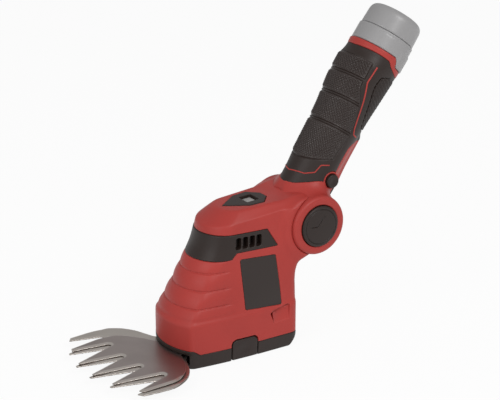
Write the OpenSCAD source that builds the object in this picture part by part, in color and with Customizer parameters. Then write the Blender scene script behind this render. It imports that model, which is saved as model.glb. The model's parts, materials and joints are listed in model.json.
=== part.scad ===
// Cordless grass shears: a motor body on a flat sole, a fan of blades in front,
// and a forked handle that tilts on the neck of the body and takes a stick battery.
// X runs along the tool with the blades towards -X, Y is across, Z is up from the sole.

/* [Body] */
// Width of the body at the sole
body_w = 71; // [66:0.5:78]
// Width of the body under the rounded top
body_top_w = 60.4; // [58:0.2:62]
// Back wall of the body, from the middle of the sole
body_rear_x = 50.5; // [49:0.5:56]
// Height of the flat top above the ground
body_top_z = 130.5; // [128:0.5:132]
// Thickness of the body shells
wall = 3; // [2.4:0.1:3.4]
// Radius of the round nose, centred on the blade pivot
nose_r = 31.5; // [30:0.5:33]
// Height of the sole at the sides
sole_h = 12.5; // [12.2:0.1:13]
// Thickness of the sole's floor
floor_t = 4; // [3:0.1:4]
// Thickness of the lip over the blades
lip_t = 2; // [1.6:0.1:2.4]
// Height of each step in the ribbed nose
rib_pitch = 13.3; // [12.8:0.1:13.6]
// Depth of each step in the ribbed nose
rib_step = 1.4; // [0.6:0.1:1.8]
// Number of vent slots on each side
vent_count = 4; // [2:1:4]
// Width of a vent slot
vent_w = 5; // [3:0.2:5.4]

/* [Blades] */
// Blade pivot, in front of the middle of the sole
pivot_x = -34.5; // [-36:0.5:-33]
// Reach of the lower blade's tips from the pivot
lower_reach = 107.5; // [104:0.5:112]
// Reach of the upper blade's tips from the pivot
upper_reach = 105; // [101:0.5:109]
// Distance between neighbouring teeth
tooth_pitch = 25.4; // [24.6:0.1:26]
// Teeth of the lower blade
lower_teeth = 6; // [6:2:6]
// Thickness of each blade
blade_t = 2; // [1.6:0.1:2]
// Width of a tooth at its tip
tip_w = 4; // [3:0.2:6]
// Radius of the pivot bolt
pivot_r = 4; // [3:0.1:5]

/* [Drive] */
// Tooth size of the gears
gear_m = 0.8; // [0.76:0.01:0.82]
// Teeth of the pinion
pinion_teeth = 14; // [13:1:15]
// Teeth of the drive gear
drive_teeth = 42; // [40:1:43]
// Radius of the motor can
motor_r = 14; // [12:0.5:15]
// Length of the motor can
motor_len = 42; // [34:1:46]
// Distance from the blade pivot to the crank
crank_arm = 30; // [29:0.5:31]
// Radius of the crank pin
crank_pin_r = 2.4; // [1.6:0.1:2.6]

/* [Handle] */
// Hinge axis, behind the middle of the sole
hinge_x = 72.5; // [71.5:0.5:74]
// Hinge axis above the ground
hinge_z = 106.5; // [105.5:0.5:108]
// Lean of the handle above level
handle_tilt = 53.5; // [50:0.5:54]
// Distance from the hinge axis to the grip axis
grip_offset = 12; // [11:0.5:13]
// Radius of the round cheeks of the fork
cheek_r = 26.3; // [25:0.1:26.4]
// Distance across the two cheeks
cheek_span = 73; // [71:0.5:75]
// Width of the neck between the cheeks
neck_w = 25.6; // [24:0.2:25.8]
// Radius of the hinge button
button_r = 18.5; // [15:0.5:19]
// Radius of the hinge pin
pin_r = 4; // [3:0.1:5]
// Radius of the grip at its lower end
grip_r_low = 23.5; // [23.3:0.1:25]
// Radius of the grip at its waist
grip_r_waist = 23; // [22.9:0.1:24]
// Radius of the grip at its upper end
grip_r_high = 26.2; // [25.5:0.1:27]
// Thickness of the grip cover
sleeve_t = 1.2; // [0.8:0.1:1.2]
// Lower end of the grip cover along the handle
sleeve_s0 = 33; // [32:0.5:34]
// Upper end of the grip cover along the handle
sleeve_s1 = 158; // [155:0.5:160]
// Length of the red end ring
ring_len = 6; // [4:0.5:8]

/* [Battery] */
// Radius of a cell
cell_r = 9.2; // [8.8:0.1:9.2]
// Length of a cell
cell_len = 65; // [60:0.5:65]
// Length of the battery that stands out of the handle
head_len = 32; // [28:0.5:36]
// Radius of the battery's rounded end
cap_r = 25; // [22:0.5:25.5]

/* [Hidden] */
$fn = 64;

red = "firebrick";
black = "dimgray";
steel = "silver";
gap = 0.3;          // clearance between pieces that slide
fit = 0.05;         // radial clearance of a running fit
cut = 1;            // how far a cutter runs past the face it opens

// Heights of the loft that gives the body its outside
shoulder_z = 43;
rib_z0 = 51.5;
rib_edge = 0.6;
band_z = body_top_z - 30.5;
crown_z = body_top_z - 18.5;
neck_z = hinge_z - 23.5;
band_foot_z = body_top_z - 41;
base_half = body_w / 2;
crown_half = body_top_w / 2;
front_x0 = pivot_x - nose_r;
function rib_z(i) = rib_z0 + i * rib_pitch;
body_heights = [
  sole_h, 34, shoulder_z, rib_z(0), rib_z(0) + rib_edge, rib_z(1), rib_z(1) + rib_edge,
  rib_z(2), rib_z(2) + rib_edge, neck_z, band_foot_z, band_z, crown_z,
  body_top_z - 11, body_top_z - 5.5, body_top_z - 2, body_top_z
];
// How far the front has moved back at each height, and how far the sides have moved in
function front_x(z) = front_x0 + lookup(z, [
  [34, 0], [shoulder_z, 2.6],
  [rib_z(0), 8 - rib_step / 2], [rib_z(0) + rib_edge, 8 + rib_step / 2],
  [rib_z(1), 15.5 - rib_step / 2], [rib_z(1) + rib_edge, 15.5 + rib_step / 2],
  [rib_z(2), 22.4 - rib_step / 2], [rib_z(2) + rib_edge, 22.4 + rib_step / 2],
  [band_foot_z, 29.4], [band_z, 34.8], [crown_z, 38.6],
  [body_top_z - 11, 42.6], [body_top_z - 5.5, 50.5], [body_top_z - 2, 59.5], [body_top_z, 68]
]);
function nose_radius(z) = lookup(z, [
  [shoulder_z, nose_r], [band_z, nose_r - 2], [crown_z, nose_r - 2.5],
  [body_top_z - 11, nose_r - 4.5], [body_top_z - 5.5, nose_r - 8], [body_top_z - 2, nose_r - 12],
  [body_top_z, nose_r - 16]
]);
function half_width(z) = lookup(z, [
  [34, base_half], [shoulder_z, base_half - 0.5],
  [rib_z(0), base_half - 1.1], [rib_z(0) + rib_edge, base_half - 1.1 - rib_step / 4],
  [band_z, crown_half + 0.8], [crown_z, crown_half],
  [body_top_z - 11, crown_half - 2], [body_top_z - 5.5, crown_half - 5.7],
  [body_top_z - 2, crown_half - 10.2], [body_top_z, crown_half - 14.2]
]);
function rear_x(z) = lookup(z, [
  [65, body_rear_x], [rib_z(2), body_rear_x + 3], [neck_z, body_rear_x + 8.5],
  [neck_z + 7, body_rear_x + 9.5]
]);
rear_corner = 7;
nose_sweep = 66;    // angle of the round nose on each side
nose_steps = 8;
side_run = 24;      // length over which the sides spread from the nose to full width

// Half outline of the body at height z, grown by off, from the nose to the tail along -Y
function half_outline(z, off, y_end) = let (
  r = nose_radius(z) + off, w = half_width(z) + off, x0 = front_x(z) + nose_radius(z),
  xr = rear_x(z) + off, c = rear_corner
) concat(
  [[x0 - r, y_end]],
  [for (i = [1 : nose_steps])
    [x0 - r * cos(i * nose_sweep / nose_steps), -min(w, r * sin(i * nose_sweep / nose_steps))]],
  [[min(x0 - r * cos(nose_sweep) + side_run, xr - 2 * c), -w]],
  [for (a = [-90 : 30 : 0]) [xr - c + c * cos(a), -(w - c) + c * sin(a)]],
  [[xr, y_end]]
);
function flip(pts) = [for (i = [len(pts) - 1 : -1 : 0]) [pts[i][0], -pts[i][1]]];
function full_outline(z, off) = concat(half_outline(z, off, 0), flip(half_outline(z, off, 0)));

// Half of the body's outside grown by off: a skin over the half outlines at all heights
module half_loft(off, y_end) {
  rings = [for (z = body_heights) [for (p = half_outline(z, off, y_end))
    [p[0], p[1], z == body_top_z ? z + off : (z == sole_h ? z - (off < 0 ? cut : 0) : z)]]];
  m = len(rings[0]);
  n = len(rings);
  polyhedron(
    points = [for (r = rings) each r],
    faces = concat(
      [[for (i = [0 : m - 1]) i]],
      [for (k = [0 : n - 2], i = [0 : m - 1]) let (j = (i + 1) % m)
        [k * m + i, (k + 1) * m + i, (k + 1) * m + j]],
      [for (k = [0 : n - 2], i = [0 : m - 1]) let (j = (i + 1) % m)
        [k * m + i, (k + 1) * m + j, k * m + j]],
      [[for (i = [m - 1 : -1 : 0]) (n - 1) * m + i]]
    )
  );
}

// A prism across the tool over an outline drawn in X and Z
module across(y0, y1) {
  translate([0, y1, 0]) rotate([90, 0, 0]) linear_extrude(y1 - y0) children();
}
// A cylinder across the tool at x, z
module cross_cyl(x, z, r, y0, y1) {
  translate([x, y1, z]) rotate([90, 0, 0]) cylinder(r = r, h = y1 - y0);
}
// side is -1 for the left (near) half and 1 for the right half
module on_side(side) {
  if (side < 0) children();
  else mirror([0, 1, 0]) children();
}

// Hinge
neck_half = neck_w / 2;
cheek_half = cheek_span / 2;
cheek_in = neck_half + 0.5;
recess_r = cheek_r + 0.7;
barrel_r = cheek_r - 1.3;
pocket_r = button_r + 0.4;
pocket_depth = 10;
cheek_floor = 2.5;
pocket_y = cheek_half - pocket_depth;
hub_r = 7;
button_press = 3;
button_proud = 2.5;

// Nose lip, blade levels and sole
blade_gap = 0.1;
carrier_t = 2.75;
carrier_z = floor_t + 0.2;
lower_z = carrier_z + carrier_t + fit;
upper_z = lower_z + blade_t + blade_gap;
bolt_head_z = upper_z + blade_t + fit;
bolt_head_t = 1.6;
lip_z = bolt_head_z + bolt_head_t + 0.4;
lip_top = lip_z + lip_t;
jog_x = pivot_x - 11.5;
lip_back_x = jog_x + 6;
sole_nose_r = nose_r - 3;
sole_rim = 3;
rear_undercut = 9;

// Label plates, finger recess, band and vents: outlines in X and Z
label_pts = [[-5, 89.5], [31, 88], [36, 42.5], [0, 42.5]];
plate_t = 1;
recess_pts = [[26, 25.5], [24.5, 35.5], [44, 39.5], [43, 27]];
band_low = body_top_z - 40.7;
band_step = 5;
band_top = body_top_z - 19;
band_pts = [
  [-60, band_low], [-11, band_low], [-6, band_low + band_step], [34, band_low + band_step],
  [24, band_top], [-60, band_top]
];
band_t = 2;
vent_x0 = -6;
vent_pitch = 6.4;
vent_z = body_top_z - 27.5;
vent_h = 9;

// Release buttons
release_x = -3.2;
release_w = 25;
release_top = 18.8;
release_press = 2.5;
release_t = 4.5;
release_face = base_half + 0.6;
release_spring_r = 3;
release_seat_y = release_face - release_t - 5;

// Screws
screw_r = 1.25;
screw_head_r = 3;
screw_head_t = 1.8;
boss_r = 4;
body_boss_xz = [[-24, 24], [40, 24], [16, body_top_z - 13.5], [41, 60]];
sole_boss_x = [16, 34];
sole_boss_y = base_half - wall - boss_r + 0.8;
sole_boss_top = 28;

module recess_cut() {
  cross_cyl(hinge_x, hinge_z, recess_r, -cheek_half - 10, -neck_half - 0.1);
}
module lip_zone() {
  translate([front_x0 - 10, -base_half - 5, 0])
    cube([lip_back_x - front_x0 + 10, body_w + 10, lip_top]);
}
module label_zone() { across(-base_half - 5, -18) polygon(label_pts); }
module band_zone() { across(-base_half - 5, cut) polygon(band_pts); }
module vent_zone() {
  for (i = [0 : vent_count - 1]) across(-base_half - 5, -20)
    translate([vent_x0 + i * vent_pitch, vent_z]) square([vent_w, vent_h], center = true);
}
module release_outline(grow) {
  corner = 6;
  w = release_w / 2 + grow;
  translate([release_x, 0]) {
    translate([-w, -grow]) square([2 * w, release_top - corner + grow]);
    translate([-w + corner, 0]) square([2 * (w - corner), release_top + grow]);
    for (s = [-1, 1]) translate([s * (w - corner), release_top - corner + grow]) circle(corner);
  }
}
module release_zone() {
  across(-base_half - 5, -release_face + release_t + release_press + gap) release_outline(gap);
}
bezel_pts = [[-1, 0], [18, 12.5], [33, 10.5], [39, 0], [33, -10.5], [18, -12.5]];
bezel_depth = 1.8;
module bezel_zone(grow) {
  translate([0, 0, body_top_z - bezel_depth]) linear_extrude(10) offset(grow) polygon(bezel_pts);
}

lens_x = 22;
lens_l = 10;
lens_w = 13;
module lens_zone(shrink) {
  translate([lens_x - lens_l / 2 + shrink, -lens_w / 2 + shrink, body_top_z - wall - cut])
    cube([lens_l - 2 * shrink, lens_w - 2 * shrink, wall + 3 * cut]);
}
module body_half(side) {
  difference() {
    union() {
      difference() {
        half_loft(0, 0);
        difference() {
          half_loft(-wall, cut);
          cross_cyl(hinge_x, hinge_z, recess_r + wall, -base_half - 5, 2 * cut);
        }
        recess_cut();
        difference() { band_zone(); half_loft(-band_t, 2 * cut); }
        difference() { label_zone(); half_loft(-plate_t, 2 * cut); }
        lip_zone();
      }
      cross_cyl(hinge_x, hinge_z, barrel_r, -neck_half, 0);
      intersection() {
        for (p = body_boss_xz) cross_cyl(p[0], p[1], boss_r, -base_half, 0);
        half_loft(-wall / 2, 0);
      }
      for (x = sole_boss_x) translate([x, -sole_boss_y, sole_h])
        cylinder(r = boss_r, h = sole_boss_top - sole_h);
    }
    difference() {
      across(-base_half - 5, -base_half + 3) polygon(recess_pts);
      half_loft(-wall + 1, 2 * cut);
    }
    release_zone();
    vent_zone();
    bezel_zone(0.1);
    lens_zone(0);
    cross_cyl(hinge_x, hinge_z, pin_r + fit, -neck_half - cut, cut);
    for (x = sole_boss_x) translate([x, -sole_boss_y, sole_h - cut])
      cylinder(r = screw_r + fit, h = sole_boss_top - sole_h - 2 + cut);
    for (p = body_boss_xz)
      if (side < 0) cross_cyl(p[0], p[1], screw_r + fit, -16, cut);
      else {
        cross_cyl(p[0], p[1], screw_r + 0.3, -base_half, cut);
        cross_cyl(p[0], p[1], screw_head_r + gap, -base_half - 5, -half_width(p[1]) + 4);
      }
  }
}
module left_body_shell() { color(red) body_half(-1); }
module right_body_shell() { color(red) mirror([0, 1, 0]) body_half(1); }

module band_half() {
  difference() {
    intersection() {
      band_zone();
      half_loft(0.4, 0);
    }
    half_loft(-band_t + 0.1, 2 * cut);
    vent_zone();
  }
}
module vent_band() {
  color(black) {
    band_half();
    mirror([0, 1, 0]) band_half();
  }
}

module label_plate() {
  difference() {
    intersection() {
      across(-base_half - 5, -20) offset(-0.2) polygon(label_pts);
      half_loft(0.2, 0);
    }
    half_loft(-plate_t + 0.1, 2 * cut);
  }
}
module left_label_plate() { color(black) label_plate(); }
module right_label_plate() { color(black) mirror([0, 1, 0]) label_plate(); }

module indicator_bezel() {
  color(black) difference() {
    translate([0, 0, body_top_z - bezel_depth]) linear_extrude(bezel_depth + 0.6) polygon(bezel_pts);
    lens_zone(0);
  }
}
module indicator_lens() {
  color("gainsboro") intersection() {
    lens_zone(0.1);
    translate([0, -lens_w, body_top_z - wall + fit]) cube([2 * lens_x, 2 * lens_w, wall - 0.2]);
  }
}
board_t = 1.6;
module indicator_board() {
  color("darkgreen") translate([lens_x - 9, -11, body_top_z - wall - board_t]) cube([18, 22, board_t]);
}

// Sole: a tray with a floor, a rim, a lip over the blades and seats for the release springs
function sole_half(off) = concat(
  [for (i = [0 : nose_steps]) let (a = i * nose_sweep / nose_steps)
    [pivot_x - (sole_nose_r + off) * cos(a), -(sole_nose_r + off) * sin(a)]],
  [[pivot_x + 12, -base_half - off]],
  [for (a = [-90 : 30 : 0]) [body_rear_x + off - rear_corner + rear_corner * cos(a),
    -(base_half + off - rear_corner) + rear_corner * sin(a)]]
);
module sole_plan(off) { polygon(concat(sole_half(off), flip(sole_half(off)))); }
module sole() {
  color(black) difference() {
    union() {
      linear_extrude(sole_h) sole_plan(0);
      intersection() {
        linear_extrude(lip_top) sole_plan(0);
        lip_zone();
      }
    }
    difference() {
      translate([0, 0, floor_t]) linear_extrude(lip_z - floor_t) sole_plan(-sole_rim);
      for (s = [-1, 1]) translate([release_x - 4, s * (release_seat_y - 1.5) - 1.5, floor_t])
        cube([8, 3, sole_h - floor_t - 0.5]);
      for (x = sole_boss_x, s = [-1, 1]) translate([x, s * sole_boss_y, floor_t])
        cylinder(r = boss_r, h = sole_h - floor_t);
    }
    translate([front_x0 - 10, -base_half - 5, floor_t])
      cube([jog_x - front_x0 + 10, body_w + 10, lip_z - floor_t]);
    release_zone();
    mirror([0, 1, 0]) release_zone();
    across(-50, 50) polygon([[body_rear_x + cut, -cut], [body_rear_x + cut, rear_undercut + cut],
      [body_rear_x - rear_undercut - cut, -cut]]);
    for (x = sole_boss_x, s = [-1, 1]) translate([x, s * sole_boss_y, -cut]) {
      cylinder(r = screw_r + 0.3, h = sole_h + 2 * cut);
      cylinder(r = screw_head_r + gap, h = 2.2 + cut);
    }
  }
}
module sole_screws() {
  color(steel) for (x = sole_boss_x, s = [-1, 1]) translate([x, s * sole_boss_y, 0.4]) {
    cylinder(r = screw_head_r, h = screw_head_t);
    cylinder(r = screw_r, h = sole_boss_top - 5);
  }
}
module body_screws() {
  color(steel) for (p = body_boss_xz) {
    head_y = half_width(p[1]) - 4;
    cross_cyl(p[0], p[1], screw_head_r, head_y, head_y + screw_head_t);
    cross_cyl(p[0], p[1], screw_r, -14, head_y);
  }
}

// Release buttons and their springs
module release_button() {
  across(-release_face, -release_face + release_t) intersection() {
    release_outline(0);
    translate([-100, 0.6]) square([200, release_top]);
  }
}
module left_release_button() { color(black) release_button(); }
module right_release_button() { color(black) mirror([0, 1, 0]) release_button(); }
module release_spring() {
  difference() {
    cross_cyl(release_x, sole_h - 4.5, release_spring_r, -release_face + release_t, -release_seat_y);
    cross_cyl(release_x, sole_h - 4.5, release_spring_r - 1, -base_half, -release_seat_y + cut);
  }
}
module left_release_spring() { color(steel) release_spring(); }
module right_release_spring() { color(steel) mirror([0, 1, 0]) release_spring(); }

// Gears: straight flanks with backlash, teeth of gear size m
tooth_share = 0.36;
function gear_pts(n, m, turn) = [for (i = [0 : n - 1]) let (p = 360 / n, a = i * p + turn,
    r0 = m * (n / 2 - 1.2), r1 = m * (n / 2 + 0.85))
  each [
    r0 * [cos(a - p * 0.30), sin(a - p * 0.30)],
    m * n / 2 * [cos(a - p * tooth_share / 2), sin(a - p * tooth_share / 2)],
    r1 * [cos(a - p * 0.08), sin(a - p * 0.08)],
    r1 * [cos(a + p * 0.08), sin(a + p * 0.08)],
    m * n / 2 * [cos(a + p * tooth_share / 2), sin(a + p * tooth_share / 2)],
    r0 * [cos(a + p * 0.30), sin(a + p * 0.30)]
  ]];
gear_x = pivot_x + crank_arm;
gear_centres = gear_m * (pinion_teeth + drive_teeth) / 2;
pinion_x = gear_x + gear_centres;
swing = 2 * asin(tooth_pitch / 2 / upper_reach);
crank_r = crank_arm * sin(swing / 2);
plate_z = 38;
plate_thick = 3;
gear_h = 7;
gear_z = plate_z - gear_h - 1;
axle_r = 3;
shaft_r = 1.5;
module gear_plate() {
  color("lightgray") difference() {
    translate([0, 0, plate_z]) linear_extrude(plate_thick)
      polygon(full_outline(plate_z + plate_thick, -wall - gap));
    translate([pinion_x, 0, plate_z - cut]) cylinder(r = shaft_r + 1, h = plate_thick + 2 * cut);
    translate([gear_x, 0, plate_z - cut]) cylinder(r = axle_r, h = plate_thick + 2 * cut);
  }
}
module gear_axle() {
  color(steel) translate([gear_x, 0, gear_z + 2.5]) cylinder(r = axle_r, h = plate_z + plate_thick - gear_z - 2.5);
}
module drive_gear() {
  color("gold") translate([gear_x, 0, gear_z]) difference() {
    linear_extrude(gear_h) polygon(gear_pts(drive_teeth, gear_m, 0));
    translate([0, 0, 2]) cylinder(r = axle_r + fit, h = gear_h);
  }
}
roller_z = bolt_head_z + 0.6;
module crank_roller() {
  color(steel) translate([gear_x, crank_r, roller_z]) cylinder(r = crank_pin_r, h = gear_z - roller_z);
}
motor_z = plate_z + plate_thick;
module motor_can() {
  color("lightgray") translate([pinion_x, 0, motor_z]) difference() {
    cylinder(r = motor_r, h = motor_len);
    translate([0, 0, -cut]) cylinder(r = shaft_r + fit, h = motor_len - 4 + cut);
  }
}
module motor_end_cap() {
  color("white") translate([pinion_x, 0, motor_z + motor_len]) {
    cylinder(r = motor_r - 1, h = 4);
    for (s = [-1, 1]) translate([-1, s * 8 - 2, 4]) cube([0.8, 4, 5]);
  }
}
module motor_pinion() {
  color("gold") translate([pinion_x, 0, gear_z]) {
    linear_extrude(gear_h) polygon(gear_pts(pinion_teeth, gear_m, 180 + 180 / pinion_teeth));
    cylinder(r = shaft_r, h = motor_z + motor_len - 6 - gear_z);
  }
}

// Blades: parallel tapered teeth whose tips and roots lie on arcs about the pivot
root_share = 0.36;    // depth of the tooth gaps as a share of the reach
function gap_ys(n) = [for (i = [1 : n - 1]) (i - n / 2) * tooth_pitch];
function edge_x(reach, y) = -sqrt(reach * reach - y * y);
module tooth_gaps(n, reach) {
  for (g = gap_ys(n)) {
    root_x = edge_x(reach * (1 - root_share), min(abs(g), reach * 0.41) * 0.9);
    tip_x = edge_x(reach, min(abs(g), reach - 1));
    translate([root_x, g]) circle(2.2);
    polygon([[root_x, g - 2.2], [root_x, g + 2.2],
      [tip_x - 6, g + (tooth_pitch - tip_w) / 2 + 2], [tip_x - 6, g - (tooth_pitch - tip_w) / 2 - 2]]);
  }
}
lower_tip_y = (lower_teeth - 1) / 2 * tooth_pitch;
upper_teeth = lower_teeth - 1;
upper_tip_y = (upper_teeth - 1) / 2 * tooth_pitch;
mouth_half_y = 21.5;
belly = 3;
tip_arc_steps = 12;
// Half outline of a blade from its tail to its outer tip, then the arc of the tips
function tip_arc(reach, y) = [for (i = [0 : tip_arc_steps]) let (a = asin(y / reach), t = 1 - 2 * i / tip_arc_steps)
  [-reach * cos(a * t), reach * sin(a * t)]];
module lower_outline() {
  y = lower_tip_y + tip_w / 2;
  r = lower_reach;
  half = [[16, 20], [jog_x - pivot_x, mouth_half_y], [-0.205 * r, 0.41 * y], [-0.247 * r, 0.55 * y],
    [-0.293 * r, 0.73 * y], [-0.381 * r, 0.9 * y], [-0.52 * r, y + 1], [-0.65 * r, y + belly / 2]];
  difference() {
    polygon(concat(half, tip_arc(lower_reach, y), [for (i = [len(half) - 1 : -1 : 0]) [half[i][0], -half[i][1]]]));
    tooth_gaps(lower_teeth, lower_reach);
  }
}
module upper_outline() {
  y = upper_tip_y + tip_w / 2;
  r = upper_reach;
  half = [[crank_arm + 9, 9], [14, 9], [6, 15], [jog_x - pivot_x, mouth_half_y - 5], [-0.205 * r, 0.455 * y],
    [-0.267 * r, 0.59 * y], [-0.348 * r, 0.76 * y], [-0.381 * r, 0.89 * y], [-0.433 * r, y - 0.5],
    [-0.533 * r, y + belly / 2]];
  difference() {
    polygon(concat(half, tip_arc(upper_reach, y), [for (i = [len(half) - 1 : -1 : 0]) [half[i][0], -half[i][1]]]));
    tooth_gaps(upper_teeth, upper_reach);
  }
}
module lower_blade() {
  color(steel) translate([pivot_x, 0, lower_z]) linear_extrude(blade_t) difference() {
    lower_outline();
    circle(pivot_r + fit);
  }
}
bush_r = pivot_r + 2.5;
module upper_blade() {
  color("lightslategray") translate([pivot_x, 0, upper_z]) rotate([0, 0, swing / 2])
    linear_extrude(blade_t) difference() {
      upper_outline();
      circle(bush_r);
      translate([crank_arm - 6, -crank_pin_r - gap]) square([12, 2 * (crank_pin_r + gap)]);
    }
}
module blade_bush() {
  color("gold") translate([pivot_x, 0, upper_z]) difference() {
    cylinder(r = bush_r, h = blade_t);
    translate([0, 0, -cut]) cylinder(r = pivot_r + fit, h = blade_t + 2 * cut);
  }
}
module blade_pivot_bolt() {
  color(steel) translate([pivot_x, 0, carrier_z + 0.2]) {
    cylinder(r = pivot_r, h = bolt_head_z - carrier_z);
    translate([0, 0, bolt_head_z - carrier_z - 0.2]) cylinder(r = pivot_r + 3, h = bolt_head_t);
  }
}
module blade_carrier() {
  color(black) translate([pivot_x, 0, carrier_z]) difference() {
    linear_extrude(carrier_t) polygon([[-20, -22], [15, -19], [15, 19], [-20, 22]]);
    translate([0, 0, -cut]) cylinder(r = pivot_r + fit, h = carrier_t + 2 * cut);
  }
}

// Handle: s runs along the grip from the hinge, x towards the underside
module handle_frame() { translate([hinge_x, 0, hinge_z]) rotate([0, 90 - handle_tilt, 0]) children(); }
module grip_frame() { handle_frame() translate([-grip_offset, 0, 0]) children(); }
// Half turn of a profile in r and s, on the left or the right
module half_turn(side) {
  rotate([0, 0, side < 0 ? 180 : 0]) rotate_extrude(angle = 180) children();
}
collar_s = 28;
ring_s1 = sleeve_s1 + ring_len;
latch_tongue = 12;
latch_s0 = ring_s1 - latch_tongue;
waist_s = 90;
stem_r = cell_r * (1 + 2 / sqrt(3)) + 0.7;
grip_bore = stem_r + gap;
ring_r = grip_r_high + 0.6;
function grip_r(s) = lookup(s, [[collar_s, grip_r_low], [sleeve_s0, grip_r_low], [waist_s, grip_r_waist],
  [sleeve_s1, grip_r_high]]);
grip_stops = [sleeve_s0, waist_s, 125, sleeve_s1];
collar_floor = 2.5;
wire_hole = 6;
module shell_profile() {
  polygon(concat(
    [[wire_hole, collar_s], [grip_r_low, collar_s], [grip_r_low, sleeve_s0]],
    [for (s = grip_stops) [grip_r(s) - sleeve_t, s]],
    [[ring_r, sleeve_s1], [ring_r, ring_s1], [wire_hole, ring_s1]]
  ));
}
// Trigger housing on the underside of the grip, as x and s
housing_s1 = 84;
housing_pts = [[4, collar_s], [17.5, collar_s], [16, 44], [13.5, 62], [13, housing_s1 - 3], [9, housing_s1], [4, housing_s1]];
housing_half_y = 11;
trigger_half_y = 6;
trigger_s0 = 31;
trigger_s1 = 58;
trigger_x0 = 8;
trigger_pin_s = trigger_s1 - 3;
trigger_pin_r = 1.5;
trigger_pin_x = 10.5;
trigger_spring_s = 40;
trigger_spring_r = 2.4;
gear_leg_r = 14;
gear_leg = 2;
handle_screw_s = [66, 78];
handle_screw_x = 11;
handle_head_r = 1.8;
lock_s = 39.5;
lock_x = -2;
lock_r = 4.8;
lock_face = 24.5;
lock_len = 9;
module arm_outline() {
  polygon([[-22.5, 12], [-29, 28], [-29, 35], [6, 35], [11, 28], [22, 13]]);
  circle(cheek_r);
}
arm_half_y = 20;
module along_grip(y0, y1) { handle_frame() across(y0, y1) children(); }
module handle_half(side) {
  difference() {
    union() {
      grip_frame() half_turn(-1) shell_profile();
      along_grip(-arm_half_y, -cheek_in) arm_outline();
      along_grip(-cheek_half, -cheek_in) circle(cheek_r);
      along_grip(-housing_half_y, 0) polygon(housing_pts);
      if (side < 0) along_grip(-lock_face + 2, -16) translate([lock_x, lock_s]) circle(lock_r + 2);
    }
    along_grip(-pocket_y + cheek_floor, -cheek_in + cut) difference() {
      circle(cheek_r - wall);
      circle(hub_r);
    }
    grip_frame() translate([0, 0, collar_s + collar_floor]) cylinder(r = grip_bore, h = ring_s1);
    along_grip(-cheek_half - cut, -pocket_y) circle(pocket_r);
    grip_frame() latch_zone(latch_s0);
    along_grip(-trigger_half_y - gap, cut) translate([2, trigger_s0 - 1.2])
      square([30, trigger_s1 - trigger_s0 + 1.5]);
    along_grip(-housing_half_y + 2, cut) translate([trigger_pin_x, trigger_pin_s]) circle(trigger_pin_r + fit);
    along_grip(-cheek_half, 0) circle(pin_r + fit);
    for (a = [0 : 120 : 240]) along_grip(-pocket_y - cut, -pocket_y + cheek_floor + cut)
      rotate(a) translate([gear_leg_r, 0]) circle(gear_leg + gap);
    if (side < 0) along_grip(-lock_face - cut, -10) translate([lock_x, lock_s]) circle(lock_r + gap);
    for (s = handle_screw_s) {
      along_grip(-housing_half_y + 1.5, cut) translate([handle_screw_x, s]) circle(screw_r + fit);
      if (side > 0) along_grip(-housing_half_y - cut, -housing_half_y + 2)
        translate([handle_screw_x, s]) circle(handle_head_r + gap);
    }
  }
}
module left_handle_shell() { color(red) handle_half(-1); }
module right_handle_shell() { color(red) mirror([0, 1, 0]) handle_half(1); }
sleeve_open = 50;   // half angle left open on the underside
module grip_cover() {
  color(black) difference() {
    grip_frame() rotate([0, 0, sleeve_open]) rotate_extrude(angle = 360 - 2 * sleeve_open) polygon(concat(
      [for (s = grip_stops) [grip_r(s), s]],
      [for (i = [len(grip_stops) - 1 : -1 : 0]) [grip_r(grip_stops[i]) - sleeve_t + 0.02, grip_stops[i]]]
    ));
    along_grip(-40, -10) translate([lock_x, lock_s]) circle(lock_r + 2.2);
    along_grip(-arm_half_y - 0.1, arm_half_y + 0.1) arm_outline();
  }
}
pad_s0 = 88;
pad_s1 = latch_s0 - 3;
module rib_pad() {
  color(black) grip_frame() rotate([0, 0, -sleeve_open + 6])
    rotate_extrude(angle = 2 * sleeve_open - 12) polygon(concat(
      [for (s = [pad_s0, 125, pad_s1]) [grip_r(s) + 0.4, s]],
      [for (s = [pad_s1, 125, pad_s0]) [grip_r(s) - sleeve_t + 0.02, s]]
    ));
}
module hinge_pin() { color(steel) cross_cyl(hinge_x, hinge_z, pin_r, -pocket_y + cheek_floor / 2, pocket_y - cheek_floor / 2); }
module pivot_cap() {
  color(black) cross_cyl(hinge_x, hinge_z, button_r, pocket_y + 0.02, cheek_half + button_proud);
}
module hinge_button() {
  color(black) cross_cyl(hinge_x, hinge_z, button_r, -cheek_half - button_proud, -pocket_y - button_press - 1.5);
}
module lock_gear() {
  y0 = -pocket_y + cheek_floor + 0.5;
  color(steel) difference() {
    union() {
      cross_cyl(hinge_x, hinge_z, 18, y0, y0 + 3);
      for (a = [0 : 120 : 240]) along_grip(-pocket_y - button_press - 1.5, y0 + 1) rotate(a)
        translate([gear_leg_r, 0]) circle(gear_leg);
    }
    cross_cyl(hinge_x, hinge_z, hub_r + 0.5, y0 - cut, y0 + 4);
  }
}
module hinge_spring() {
  color(steel) difference() {
    cross_cyl(hinge_x, hinge_z, 9.5, -pocket_y - button_press - 1.5, -pocket_y);
    cross_cyl(hinge_x, hinge_z, 8, -pocket_y - 10, -pocket_y + cut);
  }
}
switch_x1 = 1;
switch_l = 23;
switch_half_y = 8;
switch_h = 26;
module switch_block() {
  color("black") handle_frame() translate([switch_x1 - switch_l, -switch_half_y, collar_s + collar_floor + 0.2])
    cube([switch_l, 2 * switch_half_y, switch_h]);
}
terminal_t = 5;
module terminal_block() {
  color("black") grip_frame() translate([0, 0, waist_s - terminal_t]) cylinder(r = grip_bore - 0.1, h = terminal_t);
}
module handle_screws() {
  color(steel) for (s = handle_screw_s) {
    along_grip(-housing_half_y + 2, housing_half_y - 1) translate([handle_screw_x, s]) circle(screw_r);
    along_grip(housing_half_y - 1.9, housing_half_y - 0.4) translate([handle_screw_x, s]) circle(handle_head_r);
  }
}
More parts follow.
